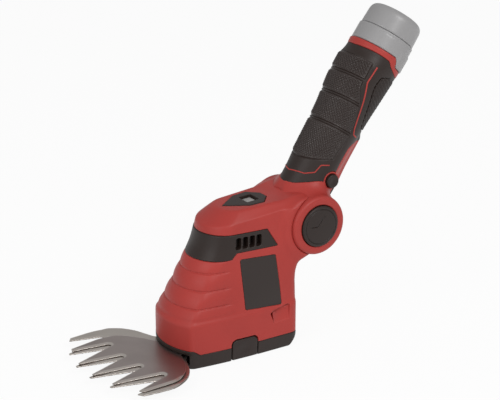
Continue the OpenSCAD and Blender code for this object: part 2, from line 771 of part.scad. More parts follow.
module trigger_pin() {
  color(steel) along_grip(-housing_half_y + 2.2, housing_half_y - 2.2) translate([trigger_pin_x, trigger_pin_s])
    circle(trigger_pin_r);
}
module trigger() {
  color(black) difference() {
    along_grip(-trigger_half_y, trigger_half_y) {
      polygon([[trigger_x0, trigger_s0], [18.5, trigger_s0 + 0.5], [17.5, 44], [14.5, trigger_s1 - 1],
        [trigger_x0, trigger_s1 - 1]]);
    }
    along_grip(-20, 20) translate([trigger_pin_x, trigger_pin_s]) circle(trigger_pin_r + fit);
  }
}
module trigger_spring() {
  color(steel) handle_frame() translate([switch_x1, 0, trigger_spring_s]) rotate([0, 90, 0]) difference() {
    cylinder(r = trigger_spring_r, h = trigger_x0 - switch_x1);
    translate([0, 0, -cut]) cylinder(r = trigger_spring_r - 0.8, h = trigger_x0 - switch_x1 + 2 * cut);
  }
}
module lock_button() {
  color(black) along_grip(-lock_face, -lock_face + lock_len) translate([lock_x, lock_s]) circle(lock_r);
}
module lock_spring() {
  color(steel) difference() {
    along_grip(-lock_face + lock_len, -switch_half_y) translate([lock_x, lock_s]) circle(lock_r - 1.3);
    along_grip(-lock_face, 0) translate([lock_x, lock_s]) circle(lock_r - 2.3);
  }
}

// Battery: a stem of three cells in the grip and a head that closes its end
head_r = grip_r_high - 0.2;
groove_s = ring_s1 + 14;
head_s1 = ring_s1 + head_len;
stem_s0 = waist_s + 0.4;
latch_half_y = 9;
latch_s1 = groove_s - 3;
latch_x = head_r - 3;
latch_press = 1.5;
latch_proud = 1.4;
holder_t = 3;
cell_gap = 0.15;
contact_t = 1.2;
contact_l = 6;
contact_w = 2;
contact_pitch = 6;
module at_cells() {
  for (a = [60 : 120 : 300]) rotate(a) translate([(cell_r + cell_gap) * 2 / sqrt(3), 0, 0]) children();
}
module battery_housing() {
  color("gray") grip_frame() difference() {
    union() {
      translate([0, 0, stem_s0]) cylinder(r = stem_r, h = ring_s1 + gap - stem_s0);
      translate([0, 0, ring_s1 + gap]) cylinder(r = head_r, h = groove_s - ring_s1 - gap);
    }
    at_cells() translate([0, 0, stem_s0 + holder_t]) cylinder(r = cell_r + fit, h = cell_len + 4);
    translate([0, 0, stem_s0 - cut]) cylinder(r = stem_r - 1.5, h = holder_t + cut + fit);
    latch_zone(ring_s1);
  }
}
// The notch for the latch, from s up to the latch's upper end
module latch_zone(s) {
  translate([latch_x - latch_press - gap, -latch_half_y - gap, s - gap])
    cube([head_r, 2 * latch_half_y + 2 * gap, latch_s1 - s + 2 * gap]);
}
cap_round = 5;
cap_taper = 0.6;
cap_wall = 3;
module battery_cap() {
  color("gray") grip_frame() rotate_extrude() polygon(concat(
    [[cap_r, groove_s]],
    [for (a = [0 : 15 : 90]) [cap_r - cap_taper - cap_round * (1 - cos(a)), head_s1 - cap_round * (1 - sin(a))]],
    [[0, head_s1], [0, head_s1 - cap_wall], [cap_r - cap_round, head_s1 - cap_wall], [cap_r - cap_wall, groove_s]]
  ));
}
module battery_cells() {
  color("steelblue") grip_frame() at_cells() translate([0, 0, stem_s0 + holder_t + 2 * fit])
    cylinder(r = cell_r, h = cell_len);
}
module cell_holder() {
  color("black") grip_frame() translate([0, 0, stem_s0 + contact_t]) cylinder(r = stem_r - 1.55, h = holder_t - contact_t);
}
module battery_contacts() {
  color("gold") grip_frame() for (i = [-1 : 1])
    translate([-contact_l / 2, i * contact_pitch - contact_w / 2, stem_s0 + fit])
      cube([contact_l, contact_w, contact_t - 2 * fit]);
}
module latch_spring() {
  color(steel) grip_frame() translate([latch_x - latch_press - gap, 0, (ring_s1 + latch_s1) / 2])
    rotate([0, 90, 0]) cylinder(r = 2, h = latch_press + gap);
}
module battery_latch() {
  color("gray") grip_frame() intersection() {
    translate([latch_x, -latch_half_y, latch_s0]) cube([head_r, 2 * latch_half_y, latch_s1 - latch_s0]);
    cylinder(r = head_r + latch_proud, h = head_s1);
  }
}

left_body_shell();
right_body_shell();
vent_band();
sole();
sole_screws();
body_screws();
left_label_plate();
right_label_plate();
indicator_bezel();
indicator_lens();
indicator_board();
motor_can();
motor_end_cap();
gear_plate();
gear_axle();
left_release_spring();
right_release_spring();
motor_pinion();
drive_gear();
crank_roller();
lower_blade();
blade_pivot_bolt();
blade_carrier();
upper_blade();
blade_bush();
left_release_button();
right_release_button();
left_handle_shell();
right_handle_shell();
grip_cover();
rib_pad();
hinge_pin();
pivot_cap();
switch_block();
terminal_block();
handle_screws();
trigger_pin();
trigger_spring();
lock_spring();
hinge_spring();
hinge_button();
lock_gear();
trigger();
lock_button();
battery_housing();
battery_cap();
battery_cells();
cell_holder();
battery_contacts();
latch_spring();
battery_latch();
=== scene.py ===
"""Looks of the cordless grass shears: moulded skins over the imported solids, materials, lights and camera."""
import json
import math

import bpy
import numpy as np
from mathutils import Matrix, Vector


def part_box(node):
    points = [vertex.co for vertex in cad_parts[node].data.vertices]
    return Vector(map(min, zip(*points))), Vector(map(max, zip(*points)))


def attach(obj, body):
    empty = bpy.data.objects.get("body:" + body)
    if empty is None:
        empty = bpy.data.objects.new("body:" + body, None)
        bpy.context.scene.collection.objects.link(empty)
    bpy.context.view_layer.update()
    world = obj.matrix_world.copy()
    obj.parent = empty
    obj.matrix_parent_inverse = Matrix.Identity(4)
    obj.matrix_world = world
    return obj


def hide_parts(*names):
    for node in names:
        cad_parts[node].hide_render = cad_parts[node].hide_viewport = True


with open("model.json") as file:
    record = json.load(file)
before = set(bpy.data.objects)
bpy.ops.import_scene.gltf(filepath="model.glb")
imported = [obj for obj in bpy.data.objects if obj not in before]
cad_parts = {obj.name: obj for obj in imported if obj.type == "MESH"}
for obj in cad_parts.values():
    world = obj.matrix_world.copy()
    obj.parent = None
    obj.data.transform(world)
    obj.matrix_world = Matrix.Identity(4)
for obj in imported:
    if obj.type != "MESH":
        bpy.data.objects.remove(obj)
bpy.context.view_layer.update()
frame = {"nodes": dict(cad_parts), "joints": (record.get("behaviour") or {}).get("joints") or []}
MM = 0.001
joints = {j["name"]: j for j in frame["joints"]}

# Driving places and sizes in millimetres, from the frame where it has them
hinge_x, _, hinge_z = (v / MM for v in joints["handle_tilt"]["pos_m"])
pivot_x = joints["blade_swing"]["pos_m"][0] / MM
body_low, body_high = (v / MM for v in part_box("left_body_shell"))
sole_h = 12.5
body_top = body_high.z
base_half = -body_low.y
crown_half = 30.2
nose_r = 31.5
front_x0 = pivot_x - nose_r
rear_x0 = 52.5
neck_half = 12.8
recess_r = 27.0
jog_x = pivot_x - 11.5
lip_top = 16.6


# Implicit shapes: negative inside, values close to distances in millimetres
def smin(a, b, k):
    """Union with a fillet of about k."""
    h = np.clip(0.5 + 0.5 * (b - a) / k, 0, 1)
    return b + (a - b) * h - k * h * (1 - h)


def smax(a, b, k):
    """Overlap with a rounded edge of about k."""
    return -smin(-a, -b, k)


def step01(t):
    """Smooth step from 0 to 1."""
    t = np.clip(t, 0, 1)
    return t * t * (3 - 2 * t)


def carve(shape, zone, depth, k):
    """shape with a pocket of that depth cut where zone is negative."""
    return smax(shape, -smax(zone, -(shape + depth), k), k)


def slab(v, low, high):
    """Between two levels."""
    return np.maximum(low - v, v - high)


def bar(u, v, centre, half, corner):
    """Rounded rectangle in two coordinates."""
    a = np.abs(u - centre[0]) - half[0] + corner
    b = np.abs(v - centre[1]) - half[1] + corner
    return np.hypot(np.maximum(a, 0), np.maximum(b, 0)) + np.minimum(np.maximum(a, b), 0) - corner


def line_dist(u, v, points):
    """Distance to an open line of straight runs."""
    best = np.inf
    for (x0, y0), (x1, y1) in zip(points, points[1:]):
        ex, ey = x1 - x0, y1 - y0
        t = np.clip(((u - x0) * ex + (v - y0) * ey) / (ex * ex + ey * ey), 0, 1)
        best = np.minimum(best, np.hypot(u - x0 - t * ex, v - y0 - t * ey))
    return best


def polygon(u, v, points):
    """Signed distance to a closed outline."""
    loop = points + points[:1]
    best = line_dist(u, v, loop)
    inside = False
    for (x0, y0), (x1, y1) in zip(loop, loop[1:]):
        rise = y1 - y0 or 1e-9
        cross = ((y0 > v) != (y1 > v)) & (u < (x1 - x0) * (v - y0) / rise + x0)
        inside = inside ^ cross
    return np.where(inside, -best, best)


def curve_through(points):
    """Smooth function through the points that doesn't overshoot between them."""
    x, y = np.array(points, float).T
    h = np.diff(x)
    d = np.diff(y) / h
    m = np.empty_like(x)
    m[0], m[-1] = d[0], d[-1]
    same = d[:-1] * d[1:] > 0
    total = np.where(same, d[:-1] + d[1:], 1)
    m[1:-1] = np.where(same, 2 * d[:-1] * d[1:] / total, 0)

    def value(t):
        t = np.clip(t, x[0], x[-1])
        i = np.clip(np.searchsorted(x, t) - 1, 0, len(h) - 1)
        s = (t - x[i]) / h[i]
        a = (1 + 2 * s) * (1 - s) ** 2 * y[i] + s * (1 - s) ** 2 * h[i] * m[i]
        return a + s * s * (3 - 2 * s) * y[i + 1] + s * s * (s - 1) * h[i] * m[i + 1]

    return value


def skin(field, low, high, step):
    """Points and quads of the surface where field is zero, by surface nets."""
    axes = [np.arange(a, b + c, c) for a, b, c in zip(low, high, step)]
    value = field(*np.meshgrid(*axes, indexing="ij", sparse=True))
    value = np.broadcast_to(value, [len(a) for a in axes])
    inside = value < 0
    cells = [n - 1 for n in value.shape]
    total = np.zeros((*cells, 3))
    count = np.zeros(cells)
    crossings = []
    for d in range(3):
        e, f = (d + 1) % 3, (d + 2) % 3
        first = tuple(slice(0, -1) if i == d else slice(None) for i in range(3))
        last = tuple(slice(1, None) if i == d else slice(None) for i in range(3))
        cross = inside[first] != inside[last]
        t = np.where(cross, value[first] / np.where(cross, value[first] - value[last], 1), 0)
        crossings.append((d, e, f, cross, inside[first]))
        for oe in (0, 1):
            for of in (0, 1):
                pick = [slice(None)] * 3
                pick[e] = slice(oe, oe + cells[e])
                pick[f] = slice(of, of + cells[f])
                pick = tuple(pick)
                count += cross[pick]
                total[..., d] += t[pick]
                total[..., e] += oe * cross[pick]
                total[..., f] += of * cross[pick]
    active = count > 0
    number = np.full(cells, -1)
    number[active] = np.arange(active.sum())
    where = np.argwhere(active)
    points = where + total[active] / count[active][:, None]
    points = np.array([a[0] for a in axes]) + points * np.array(step)
    quads = []
    for d, e, f, cross, starts_inside in crossings:
        inner = [slice(None)] * 3
        inner[e] = inner[f] = slice(1, -1)
        at = np.argwhere(cross[tuple(inner)])
        at[:, e] += 1
        at[:, f] += 1
        ring = []
        for oe, of in ((-1, -1), (0, -1), (0, 0), (-1, 0)):
            c = at.copy()
            c[:, e] += oe
            c[:, f] += of
            ring.append(number[tuple(c.T)])
        quad = np.stack(ring, 1)
        out = starts_inside[tuple(at.T)]
        quads.append(np.where(out[:, None], quad, quad[:, ::-1]))
    return settle(field, points, min(step)), np.concatenate(quads)


def settle(field, points, step, rounds=2):
    """Moves points onto the surface along the field's slope."""
    h = step / 4
    for _ in range(rounds):
        x, y, z = points.T
        v = field(x, y, z)
        g = np.stack([
            field(x + h, y, z) - field(x - h, y, z),
            field(x, y + h, z) - field(x, y - h, z),
            field(x, y, z + h) - field(x, y, z - h),
        ], 1) / (2 * h)
        move = -v[:, None] * g / np.maximum((g * g).sum(1), 0.05)[:, None]
        points = points + np.clip(move, -step / 2, step / 2)
    return points


def mesh_piece(name, points, faces, material, body, place=None):
    """A smooth-shaded mesh object from points in millimetres, riding on a body."""
    mesh = bpy.data.meshes.new(name)
    co = np.asarray(points, float) * MM
    faces = np.asarray(faces)
    n, size = faces.shape
    mesh.vertices.add(len(co))
    mesh.vertices.foreach_set("co", co.ravel())
    mesh.loops.add(n * size)
    mesh.loops.foreach_set("vertex_index", faces.ravel())
    mesh.polygons.add(n)
    mesh.polygons.foreach_set("loop_start", np.arange(n) * size)
    mesh.polygons.foreach_set("use_smooth", np.ones(n, bool))
    mesh.update(calc_edges=True)
    mesh.validate()
    if place is not None:
        mesh.transform(place)
    piece = bpy.data.objects.new(name, mesh)
    bpy.context.scene.collection.objects.link(piece)
    mesh.materials.append(material)
    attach(piece, body)
    return piece


def moulded(name, field, low, high, step, material, body, replaced, place=None):
    """A piece skinned from an implicit shape, which stands for CAD nodes."""
    step = step if isinstance(step, tuple) else (step, step, step)
    points, quads = skin(field, low, high, step)
    piece = mesh_piece(name, points, quads, material, body, place)
    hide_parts(*replaced)


# Materials: every surface has its own grain, slight colour drift and a painted highlight that lightens its
# sharp edges
drift_mm, drift_from, drift_to = 45, 0.3, 0.7
# Pointiness range over which sharp convex edges take the painted edge highlight
edge_highlight_from, edge_highlight_to = 0.50, 0.60
rough_spread = 0.07
grain_strength = 0.6
lines_along, lines_across = 60, 2500
# Slopes of the normal at which blade bevels take a painted highlight and steep walls take a painted shade
highlight_slope, shade_slope = (0.985, 0.93), (0.6, 0.35)


def tinted(material, base, factor, tint):
    """The base colour mixed with a tint by a factor, as an output of the material's nodes."""
    nodes, links = material.node_tree.nodes, material.node_tree.links
    mix = nodes.new("ShaderNodeMix")
    mix.data_type = "RGBA"
    mix.inputs["B"].default_value = (*tint, 1)
    links.new(factor, mix.inputs["Factor"])
    links.new(base, mix.inputs["A"])
    return mix.outputs["Result"]


def grained(name, colour, rough, grain_mm, bump_mm, drift=0.06, metallic=0.0, edge=0.10, gloss=0.5):
    """Principled material with a fine grain, slow colour drift and sharp edges lightened by edge as a painted
    highlight.
    """
    material = bpy.data.materials.new(name)
    material.use_nodes = True
    nodes, links = material.node_tree.nodes, material.node_tree.links
    shader = nodes["Principled BSDF"]
    shader.inputs["Metallic"].default_value = metallic
    shader.inputs["Specular IOR Level"].default_value = gloss
    place = nodes.new("ShaderNodeTexCoord")

    def noise(scale_mm, detail):
        n = nodes.new("ShaderNodeTexNoise")
        n.inputs["Scale"].default_value = 1 / (scale_mm * MM)
        n.inputs["Detail"].default_value = detail
        links.new(place.outputs["Object"], n.inputs["Vector"])
        return n.outputs["Fac"]

    def ramp(source, stops):
        r = nodes.new("ShaderNodeValToRGB")
        for stop, (position, shade) in zip(r.color_ramp.elements, stops):
            stop.position = position
            stop.color = shade
        links.new(source, r.inputs["Fac"])
        return r.outputs["Color"]

    dark = [c * (1 - drift) for c in colour] + [1]
    light = [min(1, c * (1 + drift)) for c in colour] + [1]
    tone = ramp(noise(drift_mm, 3), ((drift_from, dark), (drift_to, light)))
    geometry = nodes.new("ShaderNodeNewGeometry")
    # Sharp convex edges, found by pointiness, are lightened by edge: a painted edge highlight
    edge_highlight_mask = ramp(geometry.outputs["Pointiness"], ((edge_highlight_from, (0, 0, 0, 1)), (edge_highlight_to, (edge, edge, edge, 1))))
    edge_highlighted = tinted(material, tone, edge_highlight_mask, [min(1, c * 1.5 + 0.05) for c in colour])
    links.new(edge_highlighted, shader.inputs["Base Color"])
    spread = nodes.new("ShaderNodeMapRange")
    spread.inputs["To Min"].default_value = rough - rough_spread
    spread.inputs["To Max"].default_value = rough + rough_spread
    fine = noise(grain_mm, 2)
    links.new(fine, spread.inputs["Value"])
    links.new(spread.outputs["Result"], shader.inputs["Roughness"])
    bump = nodes.new("ShaderNodeBump")
    bump.inputs["Strength"].default_value = grain_strength
    bump.inputs["Distance"].default_value = bump_mm * MM
    links.new(fine, bump.inputs["Height"])
    links.new(bump.outputs["Normal"], shader.inputs["Normal"])
    return material


def ground_metal(name, colour, rough, along, highlight_tint=None, shade_tint=None):
    """Metal ground along one axis. Bevels, told by slope, can take a painted highlight, and steep cut walls
    can take a painted shade.
    """
    # edge=0.35 gives metal a stronger painted highlight on its sharp edges
    material = grained(name, colour, rough, 0.5, 0.01, drift=0.10, metallic=1.0, edge=0.35)
    nodes, links = material.node_tree.nodes, material.node_tree.links
    place = nodes["Texture Coordinate"]
    stretch = nodes.new("ShaderNodeMapping")
    stretch.inputs["Scale"].default_value = [lines_along if i == along else lines_across for i in range(3)]
    lines = nodes.new("ShaderNodeTexNoise")
    lines.inputs["Scale"].default_value = 1
    lines.inputs["Detail"].default_value = 4
    links.new(place.outputs["Object"], stretch.inputs["Vector"])
    links.new(stretch.outputs["Vector"], lines.inputs["Vector"])
    links.new(lines.outputs["Fac"], nodes["Bump"].inputs["Height"])
    links.new(lines.outputs["Fac"], nodes["Map Range"].inputs["Value"])
    if highlight_tint:
        split = nodes.new("ShaderNodeSeparateXYZ")
        links.new(nodes["Geometry"].outputs["Normal"], split.inputs["Vector"])
        shader = nodes["Principled BSDF"]
        # Painted highlight on bevels and painted shade on steep walls, picked by the normal's slope
        for tint, (start, end) in ((highlight_tint, highlight_slope), (shade_tint, shade_slope)):
            slope = nodes.new("ShaderNodeMapRange")
            slope.inputs["From Min"].default_value = start
            slope.inputs["From Max"].default_value = end
            links.new(split.outputs["Z"], slope.inputs["Value"])
            base = shader.inputs["Base Color"].links[0].from_socket
            links.new(tinted(material, base, slope.outputs["Result"], tint), shader.inputs["Base Color"])
    return material


# The edge argument of each material sets how strongly its sharp edges are lightened as a painted highlight
RED = grained("red_plastic", (0.372, 0.036, 0.029), 0.46, 0.5, 0.02, gloss=0.32)
DARK = grained("dark_plastic", (0.020, 0.0115, 0.009), 0.46, 0.5, 0.03, edge=0.04, gloss=0.36)
RUBBER = grained("grip_rubber", (0.021, 0.0125, 0.010), 0.48, 0.4, 0.02, edge=0.05, gloss=0.36)
KNURL = grained("knurled_rubber", (0.028, 0.0185, 0.016), 0.37, 0.4, 0.01, edge=0.05, gloss=0.42)
GREY = grained("battery_plastic", (0.28, 0.275, 0.277), 0.36, 0.6, 0.02, drift=0.04)
PANEL = grained("label_panel", (0.026, 0.0175, 0.015), 0.40, 0.3, 0.01, edge=0.04, gloss=0.36)
LENS = grained("indicator_lens", (0.30, 0.29, 0.28), 0.35, 0.8, 0.02, drift=0.25)
# Painted highlight colour for the blades' ground bevels and painted shade colour for their steep cut walls
BEVEL_HIGHLIGHT, WALL_SHADE = (0.58, 0.535, 0.495), (0.13, 0.10, 0.085)
UPPER_STEEL = ground_metal("upper_blade_steel", (0.37, 0.318, 0.303), 0.36, 1, BEVEL_HIGHLIGHT, WALL_SHADE)
LOWER_STEEL = ground_metal("lower_blade_steel", (0.52, 0.475, 0.435), 0.34, 0, BEVEL_HIGHLIGHT, WALL_SHADE)
STEEL = ground_metal("plain_steel", (0.45, 0.45, 0.45), 0.35, 2)
BRASS = ground_metal("brass", (0.60, 0.42, 0.16), 0.35, 2)
ALLOY = grained("cast_alloy", (0.45, 0.45, 0.46), 0.45, 0.8, 0.03, metallic=0.9)
WRAP = grained("cell_wrap", (0.06, 0.14, 0.26), 0.35, 1.0, 0.01)
INNER = grained("inner_plastic", (0.07, 0.07, 0.07), 0.5, 0.6, 0.02)
BOARD = grained("circuit_board", (0.03, 0.12, 0.05), 0.4, 0.8, 0.02)

# Body: a nose that leans back with height, blunt low down and rounder above, and a neck for the hinge
rib_zs = (52.0, 66.0, 80.0)
rib_pitch = rib_zs[1] - rib_zs[0]
rib_depth, rib_groove, groove_wide = 1.1, 0.7, 0.9
rib_top, rib_end_x, rib_fade = 91.0, -10.0, 10.0
shoulder_z = 43.0
nose_sweep = math.radians(66)
side_run = 28.0
blunt_set, blunt_r = 2.8, 54.0
blunt_z0, blunt_z1 = 30.0, 90.0
corner_in, corner_at, corner_slope = 4.8, 9.6, 0.15
front_lean = curve_through([
    (sole_h, 0), (38, 0), (39.7, 0.4), (42.8, 2.6), (44.4, 3.6),
    (rib_zs[0], 7.8), (rib_zs[1], 16.0), (rib_zs[2], 23.5), (89.5, 29.4), (100, 34.8), (112, 38.6),
    (body_top - 14, 40.2), (body_top - 13, 41.2), (body_top - 12, 43), (body_top - 4, 57.2),
    (body_top - 3, 59), (body_top - 1.4, 62.5), (body_top, 67),
])
nose_radius = curve_through([
    (shoulder_z, nose_r), (100, nose_r - 2), (112, nose_r - 2.5), (body_top - 13, nose_r - 3.5),
    (body_top - 2, nose_r - 12), (body_top, nose_r - 15),
])
side_y = curve_through([
    (38.5, base_half), (39.7, base_half - 0.1), (42.6, base_half - 1.1), (44, base_half - 1.4),
    (52, base_half - 1.8), (100, crown_half + 0.8),
    (112, crown_half), (body_top - 13.5, crown_half - 0.5), (body_top - 12.5, crown_half - 1.1),
    (body_top - 11.5, crown_half - 2.1), (body_top - 4, crown_half - 9.2), (body_top - 3, crown_half - 10.2),
    (body_top - 1.4, crown_half - 12), (body_top, crown_half - 14),
])
crown_round = 2.0
crown_rise, crown_rise_x, crown_rise_run, crown_rise_z = 0.11, -24.0, 70.0, 106.0
crown_dip, crown_dip_x, crown_dip_run = 0.05, 42.0, 75.0
rear_round, rear_chamfer = 9.0, 9.0
rim_half, rim_front, rim_back = 31.8, 4.0, 2.0
tail_x = curve_through([
    (60, rear_x0), (66.6, rear_x0 + 0.8), (71, rear_x0 + 2.2), (76, rear_x0 + 4.8), (80.7, rear_x0 + 9),
    (84, rear_x0 + 14), (88, rear_x0 + 18),
])
band_points = [(-60, 89.8), (-11, 89.8), (-6, 94.8), (34, 94.8), (24, 111.5), (-60, 111.5)]
label_points = [(-1.5, 86.9), (29.4, 85.6), (33.0, 43.5), (0.1, 45.7)]
label_corner = 2.0
band_deep, label_deep = 1.0, 0.8
recess_points = [(26, 25.5), (24.5, 36.5), (42.6, 40.3), (42, 27)]
recess_deep, recess_z0, recess_x1 = 5.5, 25.0, 50.0
slit_deep, slit_x1 = 4.0, 42.0
# The recess stops short of the gear plate inside
plate_low, plate_high, plate_gap, plate_cover = 38.0, 41.0, 0.6, 3.2
slit_left = [(22.6, 35.6), (27.8, 36.6), (26.2, 26.4)]
slit_top = [(22.6, 35.6), (25.4, 37.8), (41.4, 41), (41.4, 38.8), (28, 35.4)]
bezel_deep = 3.0
bezel_points = [(-4, 0), (15, 14), (29, 15), (38, 5), (38, -5), (29, -15), (15, -14)]
window_x, window_half = 23.0, (6.0, 7.2)
vent_xs = [-4.2 + 6.5 * i for i in range(4)]
vent_z, vent_half, vent_slope = 103.0, (2.6, 5.0), 0.08
vent_in, vent_deep = 15.0, 8.0
release_x, release_half, release_top, release_t = -3.2, 12.5, 18.8, 4.5
release_gap, release_deep = 0.8, 7.6
thumb_deep, thumb_z, thumb_half = 0.5, 10.0, (9.0, 7.0)
sole_floor, mouth_top, sole_draft = 4.0, 12.9, 0.06
sole_plan_z, sole_wall, sole_back = 20.0, 3.0, 8.0
sole_screw_xs, sole_screw_y = (16.0, 34.0), 29.3
sole_screw_r, sole_screw_deep = 3.3, 2.2
mouth_half = curve_through([(-54, 28.2), (-50, 25), (-46, 22.6), (-40, 22.6)])


def ribs(x, z):
    """How far the ribbed front stands out: rounded ribs with a fine groove between them."""
    part = np.mod((z - rib_zs[0]) / rib_pitch, 1)
    round_rib = np.sin(math.pi * part) - 0.5
    zone = step01((z - shoulder_z + 1) / 4) * step01((rib_top - z) / 2) * step01((rib_end_x - x) / rib_fade)
    cut = step01(1 - np.minimum(part, 1 - part) * rib_pitch / groove_wide) * (z > rib_zs[0] - 5)
    return (rib_depth * round_rib - rib_groove * cut) * zone


def body_plan(x, side, z):
    """Outline of the body at a height: a blunt nose with corners low down, a round one under the crown."""
    r = nose_radius(z)
    ahead = x - front_x0 - front_lean(z)
    dx = ahead - r
    flank = side * math.sin(nose_sweep) - dx * math.cos(nose_sweep) - r
    nose = np.where(np.arctan2(side, -dx) < nose_sweep, np.hypot(dx, side) - r, flank)
    px, py = -r * math.cos(nose_sweep), r * math.sin(nose_sweep)
    rise = side_y(z) - py
    taper = ((side - py) * side_run - (dx - px) * rise) / np.hypot(side_run, rise)
    ahead = ahead - blunt_set
    face = np.hypot(np.minimum(ahead - blunt_r, 0), side) - blunt_r
    cheek = (side - side_y(z) + corner_in - corner_slope * (ahead - corner_at)) / math.hypot(1, corner_slope)
    high = step01((z - blunt_z0) / (blunt_z1 - blunt_z0))
    plan = smax(face, cheek, 2.5) * (1 - high) + smax(nose, taper, 1) * high
    return smax(plan, side - side_y(z), 5 + 7 * high)


def dip(x):
    """How far the crown falls towards the nose."""
    return crown_dip * np.clip(crown_dip_x - x, 0, crown_dip_run)


def body_plain(x, y, z):
    """The body's outside without pockets, ribs or neck. The crown's bevel narrows towards the hinge."""
    top = z + dip(x) - body_top
    z = z - crown_rise * np.clip(x - crown_rise_x, 0, crown_rise_run) * step01((z - crown_rise_z) / 8)
    return smax(smax(body_plan(x, np.abs(y), z), x - tail_x(z), rear_round), top, crown_round)


def release_zone(x, z, grow):
    """A release button seen from the side, grown by a gap."""
    return bar(x, z, (release_x, 0), (release_half + grow, release_top + grow), 5)


def vent_zone(x, z):
    """The slanted vents seen from the side."""
    zone = np.inf
    for vent_x in vent_xs:
        slot = bar(x - (z - vent_z) * vent_slope, z, (vent_x, vent_z), vent_half, 1.6)
        zone = np.minimum(zone, slot)
    return zone


def sole_top(x):
    """Height where the sole meets the body, with a lip under the nose."""
    return np.interp(x, (jog_x - 6, jog_x), (lip_top, sole_h))


def body_field(x, y, z):
    """Both body shells as one: ribs, hinge rim and neck added, every pocket cut."""
    side = np.abs(y)
    from_hinge = np.hypot(x - hinge_x, z - hinge_z)
    plain = body_plain(x, y, z)
    shape = plain - ribs(x, z)
    thick = rim_front * step01((hinge_x - 3 - x) / 22) - rim_back * step01((x - hinge_x + 9) / 6)
    rim = smax(from_hinge - recess_r - thick, side - rim_half, 4)
    shape = smin(shape, rim, 9)
    shape = carve(shape, polygon(x, z, band_points), band_deep, 0.4)
    shape = carve(shape, polygon(x, z, label_points) - label_corner, label_deep, 0.3)
    deep = recess_deep * np.clip((z - recess_z0) / 10, 0, 1) * np.clip((recess_x1 - x) / 24, 0, 1)
    shape = carve(shape, polygon(x, z, recess_points), deep, 0.5)
    slit = np.minimum(polygon(x, z, slit_left), polygon(x, z, slit_top))
    shape = carve(shape, slit, slit_deep * np.clip((slit_x1 - x) / 14, 0.25, 1), 0.4)
    cover = np.maximum(slab(z, plate_low - plate_gap, plate_high + plate_gap), plain + plate_cover)
    shape = smin(shape, cover, 0.3)
    shape = carve(shape, np.maximum(vent_zone(x, z) - 1.5, vent_in - side), vent_deep, 0.4)
    shape = carve(shape, release_zone(x, z, release_gap), release_deep, 0.4)
    shape = smax(shape, -np.maximum(from_hinge - recess_r + 0.3, neck_half + 0.1 - side), 0.4)
    shape = smin(shape, smax(from_hinge - recess_r + 2, side - neck_half, 1.5), 1.5)
    bezel_bed = np.maximum(polygon(x, y, bezel_points) - 0.3, body_top - bezel_deep - z - dip(x))
    shape = smax(shape, -bezel_bed, 0.5)
    return smax(shape, sole_top(x) + 0.1 - z, 0.5)


def band_field(x, y, z):
    """Dark band round the crown, with the vents' liners behind it."""
    plain = body_plain(x, y, z)
    rind = smax(plain - 0.4, -plain - 2.2, 0.4)
    shape = smax(rind, polygon(x, z, band_points) + 0.25, 0.6)
    liner = np.maximum(vent_zone(x, z) - 1.3, vent_in - np.abs(y))
    shape = np.minimum(shape, np.maximum(liner, slab(plain, 0.2 - vent_deep, -1)))
    return smax(shape, -np.maximum(vent_zone(x, z), -6.5 - plain), 0.5)


def plate_field(x, y, z):
    """Blank label plates in their pockets."""
    plain = body_plain(x, y, z)
    rind = smax(plain + 0.1, -plain - 1.4, 0.3)
    return smax(rind, polygon(x, z, label_points) - label_corner + 0.2, 0.5)


def sole_plan(x, side, z):
    """Outline of the sole, drawn in towards the ground."""
    return body_plan(x, side, np.full_like(z, sole_plan_z)) + sole_draft * np.clip(sole_h - z, 0, sole_h)


def sole_field(x, y, z):
    """A tray with a lip under the nose, a mouth for the blades and a chamfer at the back."""
    side = np.abs(y)
    outline = smax(sole_plan(x, side, z), x - rear_x0, rear_round)
    shape = smax(smax(outline - 0.1, z - sole_top(x), 0.6), -z, 1.4)
    shape = smax(shape, (x - z - rear_x0 + rear_chamfer) / math.sqrt(2), 1.5)
    tray = np.maximum(outline + sole_wall, x - rear_x0 + sole_back)
    mouth = np.maximum(x - jog_x - 2, side - mouth_half(x))
    room = np.maximum(np.minimum(tray, mouth), slab(z, sole_floor, mouth_top))
    shape = smax(shape, -np.maximum(room, (jog_x - 2 - x) * (side > mouth_half(x))), 0.4)
    shape = smax(shape, -np.maximum(release_zone(x, z, release_gap), -release_deep - outline), 0.4)
    for screw_x in sole_screw_xs:
        r = np.hypot(x - screw_x, side - sole_screw_y)
        shape = smax(shape, -np.maximum(r - sole_screw_r, z - sole_screw_deep), 0.3)
    return shape


def release_field(x, y, z):
    """Release buttons, each with a shallow dish for the thumb."""
    outline = sole_plan(x, np.abs(y), z)
    dish = thumb_deep * step01(1 - np.hypot((x - release_x) / thumb_half[0], (z - thumb_z) / thumb_half[1]))
    shape = smax(smax(outline - 0.35 + dish, -outline - release_t, 0.5), release_zone(x, z, 0), 1.2)
    return smax(shape, 0.6 - z, 0.8)


def bezel_field(x, y, z):
    """Indicator bezel with its window."""
    z = z + dip(x)
    frame_top = smax(polygon(x, y, bezel_points), slab(z, body_top - bezel_deep + 0.1, body_top + 0.5), 0.7)
    window = bar(x, y, (window_x, 0), window_half, 1.0)
    return smax(frame_top, -np.maximum(window, body_top - 2.4 - z), 0.5)


moulded("body_skin", body_field, (-70, -38, 11), (101, 38, 134), 0.66, RED, "base",
        ("left_body_shell", "right_body_shell"))
moulded("vent_band_skin", band_field, (-42, -38, 87), (37, 38, 114), 0.7, DARK, "base",
        ("vent_band",))
moulded("sole_skin", sole_field, (-66, -38, -1.5), (53, 38, 19), 0.6, DARK, "base", ("sole",))
moulded("bezel_skin", bezel_field, (-6, -17, body_top - 6), (40, 17, body_top + 2), 0.45, DARK, "base",
        ("indicator_bezel",))
for name, low_y, high_y in (("left", -38, -24), ("right", 24, 38)):
    moulded(f"{name}_label_skin", plate_field, (-8, low_y, 38), (40, high_y, 92), 0.55, PANEL, "base",
            (f"{name}_label_plate",))
    moulded(f"{name}_release_skin", release_field, (-18, low_y, -0.5), (12, high_y, 21), 0.5, DARK,
            f"{name}_release", (f"{name}_release_button",))

